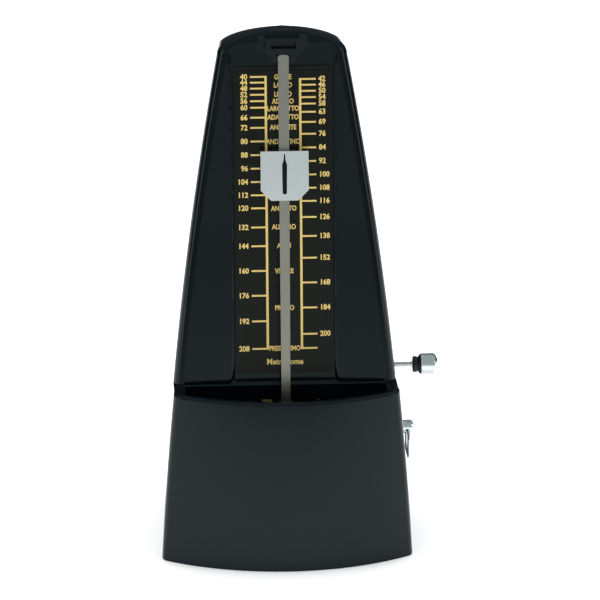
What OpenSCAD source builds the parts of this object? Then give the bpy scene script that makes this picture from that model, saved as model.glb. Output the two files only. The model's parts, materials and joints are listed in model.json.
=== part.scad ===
// Wind-up pyramid metronome: a swinging pendulum with a sliding weight, a spring-driven train
// with a verge escapement, and a bell that a pull knob sets to ring on every nth beat.
// Millimetres. Origin: centre of the underside. +X to the winding key, +Y to the back, +Z up.

/* [Case] */
// Overall height
body_h = 217; // [205:1:262]
// Width of the base at the floor
base_w = 104; // [102:1:128]
// Depth of the base at the floor, on its centre line
base_d = 108; // [106:1:132]
// Height of the lip around the shelf
lip_z = 70.6; // [69:0.2:86]
// Lean of each side wall at the floor, in degrees
side_lean = 3.02; // [2:0.02:3.2]
// Radius of the side walls' gentle curve, seen from the front
side_curve = 1540; // [1500:10:4000]
// Lean of the base front at the floor, in degrees
front_lean = 4.3; // [0:0.1:5]
// Radius of the base front's curve, seen from the side
front_curve = 1190; // [1000:10:4000]
// Lean of the back at the floor, in degrees
back_lean = 2.86; // [1:0.02:3]
// Radius of the back's curve, seen from the side
back_curve = 1110; // [1100:10:4000]
// Radius of the bowed base front, seen from above
bow_r = 88; // [85:1:160]
// Angle by which each side wall closes in towards the back, in degrees
side_taper = 5; // [2:0.5:5]
// Radius of the upright edges at the front
front_edge_r = 4.4; // [2:0.1:6]
// Radius of the upright edges at the back
back_edge_r = 6.5; // [3:0.1:10]
// Wall thickness of the moulding
wall = 2.4; // [1.6:0.1:3]
// Width of the fine step where the tower stands on the base
seam = 0.45; // [0.3:0.05:0.8]
// Height over which the roof is domed
roof_h = 8; // [5:0.5:12]

/* [Front panel] */
// Depth of the shelf in front of the panel, on the centre line
shelf_d = 26.6; // [24:0.1:30]
// Lean of the front panel, in degrees
panel_lean = 7; // [4:0.5:9]
// Width of the lip's rim in front of the shelf's slot
lip_rim = 3; // [2.6:0.1:5]
// Width of the shelf's slot
slot_w = 83; // [60:1:84]
// Ledge between the slot and the panel
ledge = 1.2; // [0.8:0.1:1.4]
// Width of the channel that holds the scale plate
channel_w = 41.3; // [41:0.1:46]
// Depth of that channel
channel_t = 0.6; // [0.4:0.1:1]
// Length of that channel
channel_l = 138; // [134:1:139]
// Width of the scale plate
scale_w = 39.8; // [36:0.1:40.5]
// Length of the scale plate
scale_l = 128.3; // [124:0.1:130]
// Thickness of the scale plate
scale_t = 0.8; // [0.6:0.1:1]
// Height of the scale plate's lower edge above the shelf, along the panel
scale_up = 4.4; // [3:0.1:6]

/* [Pendulum] */
// Depth of the pivot below the lip
pivot_drop = 8.4; // [8:0.1:10]
// Distance from the panel to the middle of the rod
rod_gap = 5; // [4.7:0.1:5.4]
// Thickness of the rod
rod_t = 1; // [0.8:0.1:1.2]
// Width of the rod at its tip
rod_tip_w = 4.45; // [3.8:0.05:5.4]
// Width of the rod at the pivot
rod_foot_w = 3.7; // [3.2:0.05:3.8]
// Length of the rod above the pivot
rod_l = 147.2; // [143:0.1:148]
// Length of the rod below the pivot
tail_l = 46; // [44:0.5:48]
// Swing to each side, in degrees
swing = 22; // [10:1:24]
// Distance from the pivot down to the middle of the counterweight
bob_drop = 39.5; // [36:0.5:40]
// Radius of the counterweight
bob_r = 14; // [11:0.5:14.5]
// Thickness of the counterweight
bob_t = 17; // [12:0.5:18]
// Width of the sliding weight
weight_w = 19.7; // [16:0.1:24]
// Height of the sliding weight
weight_h = 20.6; // [15:0.1:20.7]
// Thickness of the sliding weight
weight_t = 6.8; // [5:0.1:7.2]
// Chamfer of the sliding weight's two lower corners
weight_chamfer = 4.3; // [2:0.1:6]
// Width of the sight slot in the sliding weight
sight_w = 2; // [1.4:0.1:2.6]
// Beats per minute that the top edge of the weight is set to
tempo = 84; // [40:1:208]

/* [Movement] */
// Distance from the centre line to the outside of the left plate
left_plate_x = 38.4; // [37.6:0.1:38.6]
// Distance from the centre line to the inside of the right plate
right_plate_x = 28.4; // [28:0.1:29]
// Thickness of the movement's plates
plate_t = 1.6; // [1.2:0.1:2]
// Place of the winding arbor: distance behind the centre, and height
winding_y = 6; // [5:0.5:8]
winding_z = 41.5; // [40:0.5:43]
// Radius of the winding arbor
winding_r = 3; // [2.6:0.1:3.2]
// Radius of the mainspring barrel
barrel_r = 13.5; // [11:0.5:14]
// Length of the mainspring barrel
barrel_l = 10.5; // [8.5:0.5:11]
// Teeth of the great wheel, and of the pinion that it drives
great_teeth = 48; // [36:12:60]
second_pinion_teeth = 12; // [12]
// Gear module of that pair
great_module = 0.75; // [0.7:0.01:0.78]
// Teeth of the second wheel, and of the pinion that it drives
second_teeth = 40; // [30:10:40]
escape_pinion_teeth = 10; // [10]
// Gear module of that pair
second_module = 0.5; // [0.45:0.01:0.54]
// Teeth of the wheel that drives the bell drum, and of the drum's pinion
bell_wheel_teeth = 30; // [30]
drum_pinion_teeth = 12; // [12]
// Gear module of that pair
bell_module = 0.6; // [0.55:0.01:0.62]
// Distance from the pivot back to the middle of the escape wheel
escape_back = 18; // [17:0.5:19]
// Middle radius of the escape wheel's ring of teeth
escape_r = 9.5; // [8:0.1:10]
// Teeth of the escape wheel
escape_teeth = 15; // [11:2:17]
// Teeth of the ratchet wheel
ratchet_teeth = 24; // [24]
// Radius of the ratchet wheel
ratchet_r = 9; // [8:0.5:10]

/* [Bell] */
// Height of the pull rod above the floor, and its distance behind the centre
pull_z = 69; // [68:0.1:70]
pull_y = 6; // [5:0.5:8]
// Radius of the pull rod
pull_r = 1.05; // [0.9:0.05:1.4]
// Distance between two settings of the pull rod
pull_step = 2.6; // [2.4:0.1:2.6]
// Gap between the wall and the stop ring, at the middle setting
pull_gap = 11.2; // [8:0.1:12]
// Radius and length of the knob
knob_r = 4.5; // [3.5:0.1:6]
knob_l = 8.4; // [6:0.1:12]
// Radius and thickness of the rubber stop ring
stop_r = 3.4; // [2.6:0.1:4]
stop_t = 2.1; // [1.2:0.1:3]
// Place of the bell: distance behind the centre, and height
bell_y = 30; // [29:0.5:31]
bell_z = 38; // [36:0.5:39]
// Outer radius and length of the bell
bell_r = 14; // [11:0.5:14.5]
bell_l = 17; // [15:0.5:17.5]
// Outer radius of the drum's cams
cam_r = 6.8; // [5.6:0.1:7]

/* [Key] */
// Radius of the key's hub, and how far it stands out
hub_r = 2.9; // [2.5:0.1:4]
hub_l = 9.2; // [7:0.1:11]
// Width and drop of the key's wire loop, from middle to middle of the wire
loop_w = 13; // [10:0.5:18]
loop_h = 10.4; // [8:0.2:14]
// Radius of the loop's wire
loop_r = 0.6; // [0.5:0.05:0.8]

/* [Fits] */
// Radial clearance of a shaft that turns or slides in a bore
run = 0.05; // [0.02:0.01:0.1]
// Gap between parts that pass each other
gap = 0.4; // [0.3:0.05:0.6]

/* [Hidden] */
$fn = 48;
eps = 0.01;

// ---- case surfaces: how far each wall stands from the centre at height z ----
function half_w(z) = base_w / 2 - tan(side_lean) * z - z * z / (2 * side_curve);
function front_y(z) = -base_d / 2 + tan(front_lean) * z + z * z / (2 * front_curve);
function back_y(z) = base_d / 2 - tan(back_lean) * z - z * z / (2 * back_curve);
panel_y0 = front_y(lip_z) + shelf_d;
function panel_y(z) = panel_y0 + (z - lip_z) * tan(panel_lean);

// ---- a plan outline: bowed or flat front, four rounded corners, counter-clockwise ----
corner_steps = 4;
front_steps = 12;
function corner(c, r, a0, a1) = [for (i = [0:corner_steps])
    let (a = a0 + (a1 - a0) * i / corner_steps) [c[0] + r * cos(a), c[1] + r * sin(a)]];
// Depth of the front corners' centres
function corner_y(hw, yf, bow, rf) =
    bow > 0 ? yf + bow - sqrt(pow(bow - rf, 2) - pow(hw - rf, 2)) : yf + rf;
function plan(hw, yf, yb, bow, rf, rb, taper) =
    let (t = bow > 0 ? asin((hw - rf) / (bow - rf)) : 0,
         yc = corner_y(hw, yf, bow, rf),
         xb = hw - rf + (rf - rb) / cos(taper) - (yb - rb - yc) * tan(taper))
    concat(
        corner([-(hw - rf), yc], rf, 180 - taper, 270 - t),
        [for (i = [1:front_steps - 1]) let (k = 2 * i / front_steps - 1)
            bow > 0 ? [bow * sin(k * t), yf + bow - bow * cos(k * t)] : [k * (hw - rf), yf]],
        corner([hw - rf, yc], rf, 270 + t, 360 + taper),
        corner([xb, yb - rb], rb, taper, 90),
        corner([-xb, yb - rb], rb, 90, 180 - taper));

function base_plan(z, inset) = plan(half_w(z) - inset, front_y(z) + inset, back_y(z) - inset,
    bow_r - inset, max(front_edge_r - inset, 1), max(back_edge_r - inset, 1), side_taper);
function tower_plan(z, inset) = plan(half_w(z) - seam - inset, panel_y(z) + inset, back_y(z) - seam - inset,
    0, max(front_edge_r - inset, 1), max(back_edge_r - inset, 1), side_taper);
// How far the base's side wall stands from the centre at height z and depth y
function side_x(z, y) = half_w(z) - front_edge_r + front_edge_r / cos(side_taper)
    - (y - corner_y(half_w(z), front_y(z), bow_r, front_edge_r)) * tan(side_taper);

// ---- the domed roof: the sides and back follow an ellipse, the front stays flat for longer ----
roof_z = body_h - roof_h;
apex_y = panel_y(roof_z) + 9;
roof_squareness = 5;
function roof_plan(a) =
    let (s = cos(a), sf = pow(1 - pow(sin(a), roof_squareness), 1 / roof_squareness))
    plan((half_w(roof_z) - seam) * s, apex_y - (apex_y - panel_y(roof_z + roof_h * sin(a))) * sf,
        apex_y + (back_y(roof_z) - seam - apex_y) * s, 0, front_edge_r * s, back_edge_r * s, side_taper * s);

function raised(points, z) = [for (p = points) [p[0], p[1], z]];

// A closed solid through a stack of outlines that all have the same number of points
module loft(loops) {
    n = len(loops[0]);
    m = len(loops);
    points = [for (l = loops) for (p = l) p];
    sides = [for (i = [0:m - 2]) for (j = [0:n - 1]) let (k = (j + 1) % n)
        each [[i * n + j, (i + 1) * n + j, (i + 1) * n + k], [i * n + j, (i + 1) * n + k, i * n + k]]];
    floor_face = [for (j = [0:n - 1]) j];
    roof_face = [for (j = [n - 1:-1:0]) (m - 1) * n + j];
    polyhedron(points = points, faces = concat([floor_face], sides, [roof_face]), convexity = 8);
}

edge_break = 0.6;
base_levels = [for (k = [1:4]) edge_break + (lip_z - 2 * edge_break) * k / 4];
tower_levels = [for (k = [1:6]) lip_z + (roof_z - lip_z) * k / 7];
roof_angles = [0, 18, 34, 48, 60, 70, 79, 86];
module case_outside() {
    loft(concat(
        [raised(base_plan(0, edge_break / 2), 0), raised(base_plan(edge_break, 0), edge_break)],
        [for (z = base_levels) raised(base_plan(z, 0), z)],
        [raised(base_plan(lip_z, edge_break / 2), lip_z), raised(tower_plan(lip_z, edge_break), lip_z)],
        [raised(tower_plan(lip_z + edge_break, 0), lip_z + edge_break)],
        [for (z = tower_levels) raised(tower_plan(z, 0), z)],
        [for (a = roof_angles) raised(roof_plan(a), roof_z + roof_h * sin(a))]));
}
inner_top = roof_z + 2;
module case_inside() {
    shelf_under = lip_z - wall;
    loft(concat(
        [raised(base_plan(0, wall), -1)],
        [for (z = [0, lip_z / 2, shelf_under]) raised(base_plan(z, wall), z)],
        [raised(tower_plan(shelf_under, wall + 1), shelf_under)],
        [for (k = [1:5]) let (z = lip_z + (roof_z - lip_z) * k / 6) raised(tower_plan(z, wall), z)],
        [raised(tower_plan(roof_z, wall + 3), inner_top)]));
}

// ---- the shelf's slot: its front edge runs parallel to the lip ----
slot_back = panel_y0 - ledge;
function slot_front(x) = front_y(lip_z) + bow_r - sqrt(pow(bow_r - lip_rim, 2) - x * x);
module slot_outline() {
    steps = 16;
    polygon(concat(
        [for (i = [0:steps]) let (x = slot_w * (i / steps - 0.5)) [x, slot_front(x)]],
        [[slot_w / 2, slot_back], [-slot_w / 2, slot_back]]));
}

// ---- frames of reference ----
// The panel's own frame: y = 0 on its surface, z along it from the shelf
module panel_frame() translate([0, panel_y0, lip_z]) rotate([-panel_lean, 0, 0]) children();
// The pendulum's own frame: origin on the pivot in the middle of the rod, z along the rod
pivot_z = lip_z - pivot_drop;
pivot_y = panel_y0 - pivot_drop * tan(panel_lean) - rod_gap / cos(panel_lean);
module pendulum_frame() translate([0, pivot_y, pivot_z]) rotate([-panel_lean, 0, 0]) children();
// A profile drawn with x across and y up the rod, t thick, its middle at the depth y
module rod_slab(t, y = 0) translate([0, y + t / 2, 0]) rotate([90, 0, 0]) linear_extrude(t) children();
// A round piece along the pendulum's own axis, from depth y backwards
module along_pivot(y) translate([0, y, 0]) rotate([-90, 0, 0]) children();
// A piece on an arbor at p = [y, z] that runs along +X from x; drawn with y across and z up
module on_arbor(p, x) translate([x, p[0], p[1]]) rotate([90, 0, 90]) children();

// ---- arbor places, as [y, z] ----
winding = [winding_y, winding_z];
pull = [pull_y, pull_z];
bell_at = [bell_y, bell_z];
click_reach = ratchet_r + 3;
click_bearing = 75;
click_tooth = 105;
click_at = winding + click_reach * [cos(click_bearing), sin(click_bearing)];
escape = [pivot_y + escape_back * cos(panel_lean), pivot_z - escape_back * sin(panel_lean)];
great_reach = (great_teeth + second_pinion_teeth) * great_module / 2;
second_reach = (second_teeth + escape_pinion_teeth) * second_module / 2;
bell_reach = (bell_wheel_teeth + drum_pinion_teeth) * bell_module / 2;
// The point at distance ra from a and rb from b, on the front side of the line between them
function two_reaches(a, ra, b, rb) =
    let (d = norm(b - a), u = (b - a) / d, k = (ra * ra - rb * rb + d * d) / (2 * d),
         h = sqrt(ra * ra - k * k))
    a + k * u + h * [-u[1], u[0]];
second = two_reaches(winding, great_reach, escape, second_reach);
drum_bearing = -60;
drum = escape + bell_reach * [cos(drum_bearing), sin(drum_bearing)];
function bearing(a, b) = atan2(b[1] - a[1], b[0] - a[0]);
// The angle of a driven gear's first tooth, so that it meshes with a driver whose first tooth is at f
function mesh_angle(f, a, b, ta, tb) = let (d = bearing(a, b)) d + 180 - (f - d) * ta / tb - 180 / tb;
second_pinion_angle = mesh_angle(0, winding, second, great_teeth, second_pinion_teeth);
escape_pinion_angle = mesh_angle(0, second, escape, second_teeth, escape_pinion_teeth);
drum_pinion_angle = mesh_angle(0, escape, drum, bell_wheel_teeth, drum_pinion_teeth);

// ---- stations along X ----
left_in = -left_plate_x + plate_t;
barrel_x = left_in + 0.6;
great_x = barrel_x + barrel_l;
great_t = 2;
second_x = great_x + 5.3;
bell_wheel_x = second_x + 4.9;
middle_x = -12.2;
middle_right = middle_x + plate_t;
pallet_r = 4.5;
escape_x = -pallet_r - 0.5;
right_x = right_plate_x;
right_out = right_x + plate_t;
ratchet_x = right_out + 0.6;
ratchet_t = 1.6;
wall_out_key = side_x(winding_z, winding_y);
wall_out_pull = side_x(pull_z, pull_y);
drum_mid = 15;
hammer_hub_l = 10;
arbor_r = 1.2;
arbor_step = 0.6;
arbor_end = 0.6;

// ---- the scale's law: beats per minute squared x (inertia + h squared) = pull x (reach - h) ----
beat_pull = 3.557e6;
beat_inertia = 9842;
beat_reach = 150.3;
function height_at(n) = (sqrt(beat_pull * beat_pull - 4 * n * n * (n * n * beat_inertia
    - beat_pull * beat_reach)) - beat_pull) / (2 * n * n);
weight_top = height_at(tempo);

// ---- gears: straight-flanked teeth with play ----
function gear_points(teeth, m, first) =
    let (r = teeth * m / 2, step = 360 / teeth, tip = r + 0.85 * m, root = r - 1.1 * m)
    [for (i = [0:teeth - 1]) each [for (q = [[root, -0.3], [r, -0.225], [tip, -0.09], [tip, 0.09],
        [r, 0.225], [root, 0.3]]) let (a = first + (i + q[1]) * step) q[0] * [cos(a), sin(a)]]];
module gear(teeth, m, first, t) linear_extrude(t) polygon(gear_points(teeth, m, first));
module ring(r, bore, t) difference() {
    cylinder(r = r, h = t);
    translate([0, 0, -1]) cylinder(r = bore, h = t + 2);
}
// A wheel with a bore and a ring of round windows
module windowed_wheel(teeth, m, first, t, bore, windows, window_r, window_at) difference() {
    gear(teeth, m, first, t);
    translate([0, 0, -1]) cylinder(r = bore, h = t + 2);
    for (i = [0:windows - 1]) rotate(i * 360 / windows + 180 / windows)
        translate([window_at, 0, -1]) cylinder(r = window_r, h = t + 2);
}

// ================= case =================
boss_r = 3.6;
boss_bore = 1.1;
boss_top = 19;
plate_floor = 2.6;
boss_inset = 8;
boss_y = [-25, 45.4];
boss_places = [for (x = [-1, 1]) for (y = boss_y) [x * (side_x(boss_top, y) - boss_inset), y]];
rib_t = 1.8;
module case_bosses() for (p = boss_places) {
    translate([p[0], p[1], plate_floor]) cylinder(r = boss_r, h = boss_top - plate_floor);
    reach = boss_inset - wall / 2;
    translate([p[0] > 0 ? p[0] : p[0] - reach, p[1] - rib_t / 2, plate_floor])
        cube([reach, rib_t, boss_top - plate_floor]);
}
// A skirt under the ledge that screens the train behind it
skirt_t = 1.6;
skirt_h = 4.2;
module shelf_skirt() translate([-slot_w / 2, slot_back, lip_z - wall - skirt_h])
    cube([slot_w, skirt_t, skirt_h + wall / 2]);
notch = 1.8;
notch_h = 3.6;
channel_foot = 1;
cut_out = 5;
module panel_cuts() panel_frame() {
    translate([-channel_w / 2, -cut_out, channel_foot])
        cube([channel_w, cut_out + channel_t, channel_l - channel_foot]);
    for (s = [-1, 1]) translate([s * (channel_w + notch) / 2 - notch / 2, -cut_out, channel_l - notch_h])
        cube([notch, cut_out + channel_t, notch_h]);
}
// The slot's cut reaches this far above and below the shelf; the wall holes' cuts start this far inside
slot_under = 4;
hole_in = 8;
hole_l = 12;
module housing() color([0.03, 0.035, 0.04]) difference() {
    union() {
        difference() {
            case_outside();
            case_inside();
        }
        case_bosses();
        shelf_skirt();
    }
    translate([0, 0, lip_z - wall - slot_under]) linear_extrude(wall + 2 * slot_under) slot_outline();
    panel_cuts();
    for (p = boss_places) translate([p[0], p[1], plate_floor - 1]) cylinder(r = boss_bore, h = hole_l);
    on_arbor(winding, wall_out_key - hole_in) cylinder(r = winding_r + gap, h = hole_l);
    on_arbor(pull, wall_out_pull - hole_in) cylinder(r = pull_r + 2 * run, h = hole_l);
}

foot_r = 5;
foot_t = 1;
foot_bore = 1.4;
foot_places = [for (x = [-34, 34]) for (y = [-30, 30]) [x, y]];
screw_r = 1.2;
head_r = 2.4;
head_t = 1.1;
head_sunk = 0.3;
driver_w = 6;
driver_t = 0.6;
driver_deep = 0.5;
pillar_r = 3;
pillar_pin_r = 1.5;
pin_proud = 0.8;
pillar_z = plate_floor + pillar_r;
foot_pillar_y = [-10, 34];
movement_screw_places = [for (x = [-24, 16]) for (y = foot_pillar_y) [x, y]];
module base_plate() color([0.05, 0.05, 0.055]) difference() {
    linear_extrude(plate_floor) polygon(base_plan(0, wall + gap + 0.1));
    for (p = foot_places) translate([p[0], p[1], -1]) cylinder(r = foot_r, h = 1 + foot_t);
    for (p = concat(boss_places, movement_screw_places)) translate([p[0], p[1], -1]) {
        cylinder(r = screw_r, h = plate_floor + 2);
        cylinder(r = head_r + gap / 2, h = 1 + head_sunk + head_t);
    }
}
module rubber_feet() color([0.1, 0.1, 0.1]) for (p = foot_places)
    translate([p[0], p[1], 0]) ring(foot_r, foot_bore, foot_t);
module floor_screw(p, l) translate([p[0], p[1], head_sunk]) {
    difference() {
        cylinder(r = head_r, h = head_t);
        translate([-driver_w / 2, -driver_t / 2, -1]) cube([driver_w, driver_t, 1 + driver_deep + 0.1]);
    }
    translate([0, 0, head_t - eps]) cylinder(r = boss_bore, h = l);
}
module base_screws() color("silver") for (p = boss_places) floor_screw(p, 9);
module movement_screws() color("silver") for (p = movement_screw_places) floor_screw(p, 4.4);

module scale_plate() color([0.04, 0.045, 0.05]) panel_frame() difference() {
    translate([-scale_w / 2, channel_t - scale_t, scale_up]) cube([scale_w, scale_t, scale_l]);
    translate([-scale_w / 2 - 1, channel_t - scale_t - 1, scale_up + scale_l - 1.8])
        cube([scale_w + 2, 1 + 0.25, 0.6]);
}

// The catch over the rod's tip: a flange on the panel, a box with a window, and a tongue
catch_up = rod_l + gap;
module rod_catch() color([0.06, 0.06, 0.065]) pendulum_frame() difference() {
    union() {
        rod_slab(1.2, rod_gap - 0.6) translate([0, catch_up])
            polygon([[-9.2, 0.4], [9.2, 0.4], [10.6, 2.6], [10.1, 7.2], [-10.1, 7.2], [-10.6, 2.6]]);
        rod_slab(rod_gap + 2.1, (rod_gap - 2.1) / 2) translate([0, catch_up])
            polygon([[-6.6, 0], [6.6, 0], [7.4, 1.2], [7.1, 6.4], [-7.1, 6.4], [-7.4, 1.2]]);
        rod_slab(1.3, 1.65) translate([0, catch_up])
            polygon([[-4, -3.9], [4, -3.9], [6.2, eps], [-6.2, eps]]);
    }
    rod_slab(4.8, 0) translate([0, catch_up]) polygon([[-5.1, 2.3], [5.1, 2.3], [5.1, 5.2], [-5.1, 5.2]]);
    rod_slab(2.6, 0) translate([0, catch_up])
        polygon([[-2.7, -1], [2.7, -1], [2.3, 1.1], [-2.3, 1.1]]);
    for (s = [-1, 1]) rod_slab(3.6, 0.6) translate([s * 6.1, catch_up])
        polygon([[-0.35, 2], [0.35, 2], [0.35, 7], [-0.35, 7]]);
}

// ================= movement frame =================
plate_top = pull_z + 6;
plate_half_top = 14;
plate_front = -15;
plate_back = bell_y + 11;
module plate_outline() polygon([
    [plate_front, plate_floor], [plate_back, plate_floor], [plate_back, bell_z + 12],
    [pull_y + plate_half_top, plate_top], [pull_y - plate_half_top, plate_top],
    [plate_front, lip_z - wall - 2]]);
pillar_places = [[foot_pillar_y[0], pillar_z], [foot_pillar_y[1], pillar_z], [pull_y + 10, plate_top - 3],
    [pull_y - 6.4, plate_top - 3]];
// A plate with pillar bores and the bearings that are listed as [place, radius]
module plate(x, bearings) on_arbor([0, 0], x) difference() {
    linear_extrude(plate_t) children();
    for (p = pillar_places) translate([p[0], p[1], -1]) cylinder(r = pillar_pin_r, h = plate_t + 2);
    for (b = bearings) translate([b[0][0], b[0][1], -1]) cylinder(r = b[1], h = plate_t + 2);
}
cock_t = 1.6;
front_cock_y = 2.2;
// Depth of the front cock's back face at height z, where the ears of two plates meet it
function cock_back(z) = pivot_y + (front_cock_y + cock_t) / cos(panel_lean) + (z - pivot_z) * tan(panel_lean);
ear_top = pivot_z + 0.5;
ear_foot = pivot_z - 6;
module eared_outline() {
    plate_outline();
    polygon([[plate_front + 1, ear_top + 0.8], [cock_back(ear_top), ear_top], [cock_back(ear_foot), ear_foot],
        [plate_front + 1, ear_foot - 3]]);
}
module left_plate() color("goldenrod") plate(-left_plate_x,
    [[winding, winding_r - arbor_step + run], [second, arbor_r + run], [escape, arbor_r + run]]) plate_outline();
module middle_plate() color("goldenrod") plate(middle_x,
    [[winding, winding_r + run], [second, arbor_r + run], [escape, arbor_r + run],
     [drum, arbor_r + run], [pull, pull_r + run]]) eared_outline();
module right_plate() color("goldenrod") plate(right_x,
    [[winding, winding_r + run], [drum, arbor_r + run], [pull, bush_r], [click_at, click_pin_r],
     [bell_at, bell_tenon_r]]) eared_outline();
module frame_pillars() color("goldenrod") difference() {
    for (p = pillar_places) {
        on_arbor(p, left_in) cylinder(r = pillar_r, h = middle_x - left_in);
        on_arbor(p, middle_right) cylinder(r = pillar_r, h = right_x - middle_right);
        on_arbor(p, -left_plate_x - pin_proud)
            cylinder(r = pillar_pin_r, h = left_plate_x + right_out + 2 * pin_proud);
    }
    for (p = movement_screw_places) translate([p[0], p[1], 0]) cylinder(r = boss_bore, h = 6);
}

rear_cock_y = escape_back + escape_r + 3;
verge_r = 1.5;
cock_eye = 2.8;
cock_shoulder = 0.2;
cock_foot = -5.5;
cock_flange = 5;
module front_cock() color("goldenrod") pendulum_frame() difference() {
    rod_slab(cock_t, front_cock_y + cock_t / 2) {
        polygon([[middle_x, cock_foot], [right_out, cock_foot], [right_out, cock_shoulder],
            [middle_x, cock_shoulder]]);
        circle(r = cock_eye);
    }
    along_pivot(front_cock_y - 1) cylinder(r = verge_r + run, h = cock_t + 2);
}
module rear_cock() color("goldenrod") pendulum_frame() difference() {
    union() {
        rod_slab(cock_t, rear_cock_y + cock_t / 2)
            polygon([[middle_right, -cock_eye], [cock_eye, -cock_eye], [cock_eye, cock_eye],
                [middle_right, cock_eye]]);
        rod_slab(cock_flange, rear_cock_y + cock_flange / 2)
            polygon([[middle_right, -cock_eye], [middle_right + cock_t, -cock_eye],
                [middle_right + cock_t, cock_eye], [middle_right, cock_eye]]);
    }
    along_pivot(rear_cock_y - 1) cylinder(r = verge_r + run, h = cock_t + 2);
}

// ================= bell =================
bell_wall = 1.1;
bell_mouth_x = 26.5;
bell_x = bell_mouth_x - bell_l;
bell_post_r = 2;
bell_tenon_r = 1.5;
bell_screw_r = 0.9;
module bell() color([0.75, 0.76, 0.78]) on_arbor(bell_at, bell_x) difference() {
    rotate_extrude($fn = 72) polygon([
        [0, 0], [bell_r - 4, 0], [bell_r - 1.6, 0.9], [bell_r - 0.3, 2.6], [bell_r, 4.4],
        [bell_r, bell_l], [bell_r - bell_wall, bell_l], [bell_r - bell_wall, 4.8],
        [bell_r - bell_wall - 0.6, 3.2], [bell_r - 3, 1.9], [bell_r - 4.4, bell_wall], [0, bell_wall]]);
    translate([0, 0, -1]) cylinder(r = bell_screw_r + gap / 2, h = 4);
}
module bell_post() color("goldenrod") on_arbor(bell_at, bell_x + bell_wall) difference() {
    union() {
        cylinder(r = bell_post_r, h = right_x - bell_x - bell_wall);
        cylinder(r = bell_tenon_r, h = right_out + pin_proud - bell_x - bell_wall);
    }
    translate([0, 0, -1]) cylinder(r = bell_screw_r, h = 7);
}
module bell_screw() color("silver") on_arbor(bell_at, bell_x) difference() {
    union() {
        translate([0, 0, -head_t]) cylinder(r = bell_post_r, h = head_t);
        translate([0, 0, -eps]) cylinder(r = bell_screw_r, h = 6);
    }
    translate([-driver_w / 2, -driver_t / 2, -1 - head_t]) cube([driver_w, driver_t, 1 + driver_deep]);
}
bush_r = 2.4;
bush_lip = 0.8;
module pull_bush() color("goldenrod") on_arbor(pull, right_x - bush_lip) difference() {
    union() {
        cylinder(r = bush_r, h = plate_t + 2);
        cylinder(r = bush_r + bush_lip, h = bush_lip);
    }
    translate([0, 0, -1]) cylinder(r = pull_r + run, h = plate_t + 5);
}

// ================= springs on the frame =================
spring_t = 0.3;
click_post = click_at + [7.3, 5.05];
module click_spring() color([0.5, 0.52, 0.55]) {
    on_arbor(click_at, ratchet_x + 0.2) linear_extrude(1.2) polygon([[-4.6, 2.7], [-1.5, 4.3], [3, 4.9],
        [7.3, 4.9], [7.3, 4.9 + spring_t], [2.9, 4.9 + spring_t], [-1.7, 4.6], [-4.85, 2.95]]);
    on_arbor(click_post, right_out) cylinder(r = 0.7, h = ratchet_x + ratchet_t - right_out);
}
detent_up = pull_z + pull_r + 0.12;
module detent_spring() color([0.5, 0.52, 0.55]) translate([0, pull_y + 1.5, 0]) rotate([90, 0, 0])
    linear_extrude(3) polygon([
        [middle_right, detent_up + 1.2], [middle_right, detent_up + 4.6],
        [middle_right + spring_t, detent_up + 4.6], [middle_right + spring_t, detent_up + 1.5],
        [-5, detent_up + 1.2], [-3.6, detent_up + spring_t], [-2.4, detent_up + spring_t],
        [-1, detent_up + 1.2], [-0.8, detent_up + 1], [-2.3, detent_up], [-3.7, detent_up],
        [-5.1, detent_up + 0.9]]);

// ================= winding =================
key_pin_r = 1.5;
key_pin_l = hub_l - 3.2;
module winding_arbor() color("silver") {
    on_arbor(winding, -left_plate_x - arbor_end) cylinder(r = winding_r - arbor_step, h = plate_t + 0.8);
    on_arbor(winding, left_in + 0.2) cylinder(r = winding_r, h = wall_out_key + gap - left_in - 0.2);
    on_arbor(winding, wall_out_key + gap - eps) cylinder(r = key_pin_r, h = key_pin_l);
}
ratchet_depth = 1.6;
function ratchet_points() = [for (i = [0:ratchet_teeth - 1]) let (a = -i * 360 / ratchet_teeth)
    each [(ratchet_r - ratchet_depth) * [cos(a), sin(a)], ratchet_r * [cos(a), sin(a)]]];
module ratchet_wheel() color("silver") on_arbor(winding, ratchet_x) difference() {
    linear_extrude(ratchet_t) polygon([for (i = [2 * ratchet_teeth - 1:-1:0]) ratchet_points()[i]]);
    translate([0, 0, -1]) cylinder(r = winding_r, h = ratchet_t + 2);
}
hole_at = hub_l - 2.5;
module key_hub() color([0.85, 0.86, 0.88]) difference() {
    on_arbor(winding, wall_out_key + gap) {
        rotate_extrude() polygon([[key_pin_r, 0], [hub_r, 0], [hub_r, hub_l - 1.5],
            [hub_r - 0.5, hub_l - 0.5], [hub_r - 1.3, hub_l], [0, hub_l], [0, key_pin_l],
            [key_pin_r, key_pin_l]]);
    }
    translate([wall_out_key + gap + hole_at, winding_y, loop_top]) rotate([90, 0, 0])
        translate([0, 0, -hole_l / 2]) cylinder(r = loop_r + run, h = hole_l);
}
loop_top = winding_z - hub_r + 1.4;
loop_bend = 2.4;
module key_ring() color([0.85, 0.86, 0.88])
    translate([wall_out_key + gap + hole_at, winding_y, loop_top]) {
        side = loop_w / 2 - loop_bend;
        drop = loop_h - loop_bend;
        for (s = [-1, 1]) {
            translate([0, s * loop_w / 2, -drop]) cylinder(r = loop_r, h = drop - loop_bend);
            translate([0, s * side, -drop]) rotate([0, 0, s > 0 ? 0 : 180]) rotate([90, 0, 90])
                rotate([0, 0, -90]) rotate_extrude(angle = 90) translate([loop_bend, 0]) circle(r = loop_r);
            translate([0, s * side, -loop_bend]) rotate([0, 0, s > 0 ? 0 : 180]) rotate([90, 0, 90])
                rotate_extrude(angle = 90) translate([loop_bend, 0]) circle(r = loop_r);
        }
        for (z = [0, -loop_h]) translate([0, -side, z]) rotate([-90, 0, 0]) cylinder(r = loop_r, h = 2 * side);
    }
click_pin_r = 1;
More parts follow.
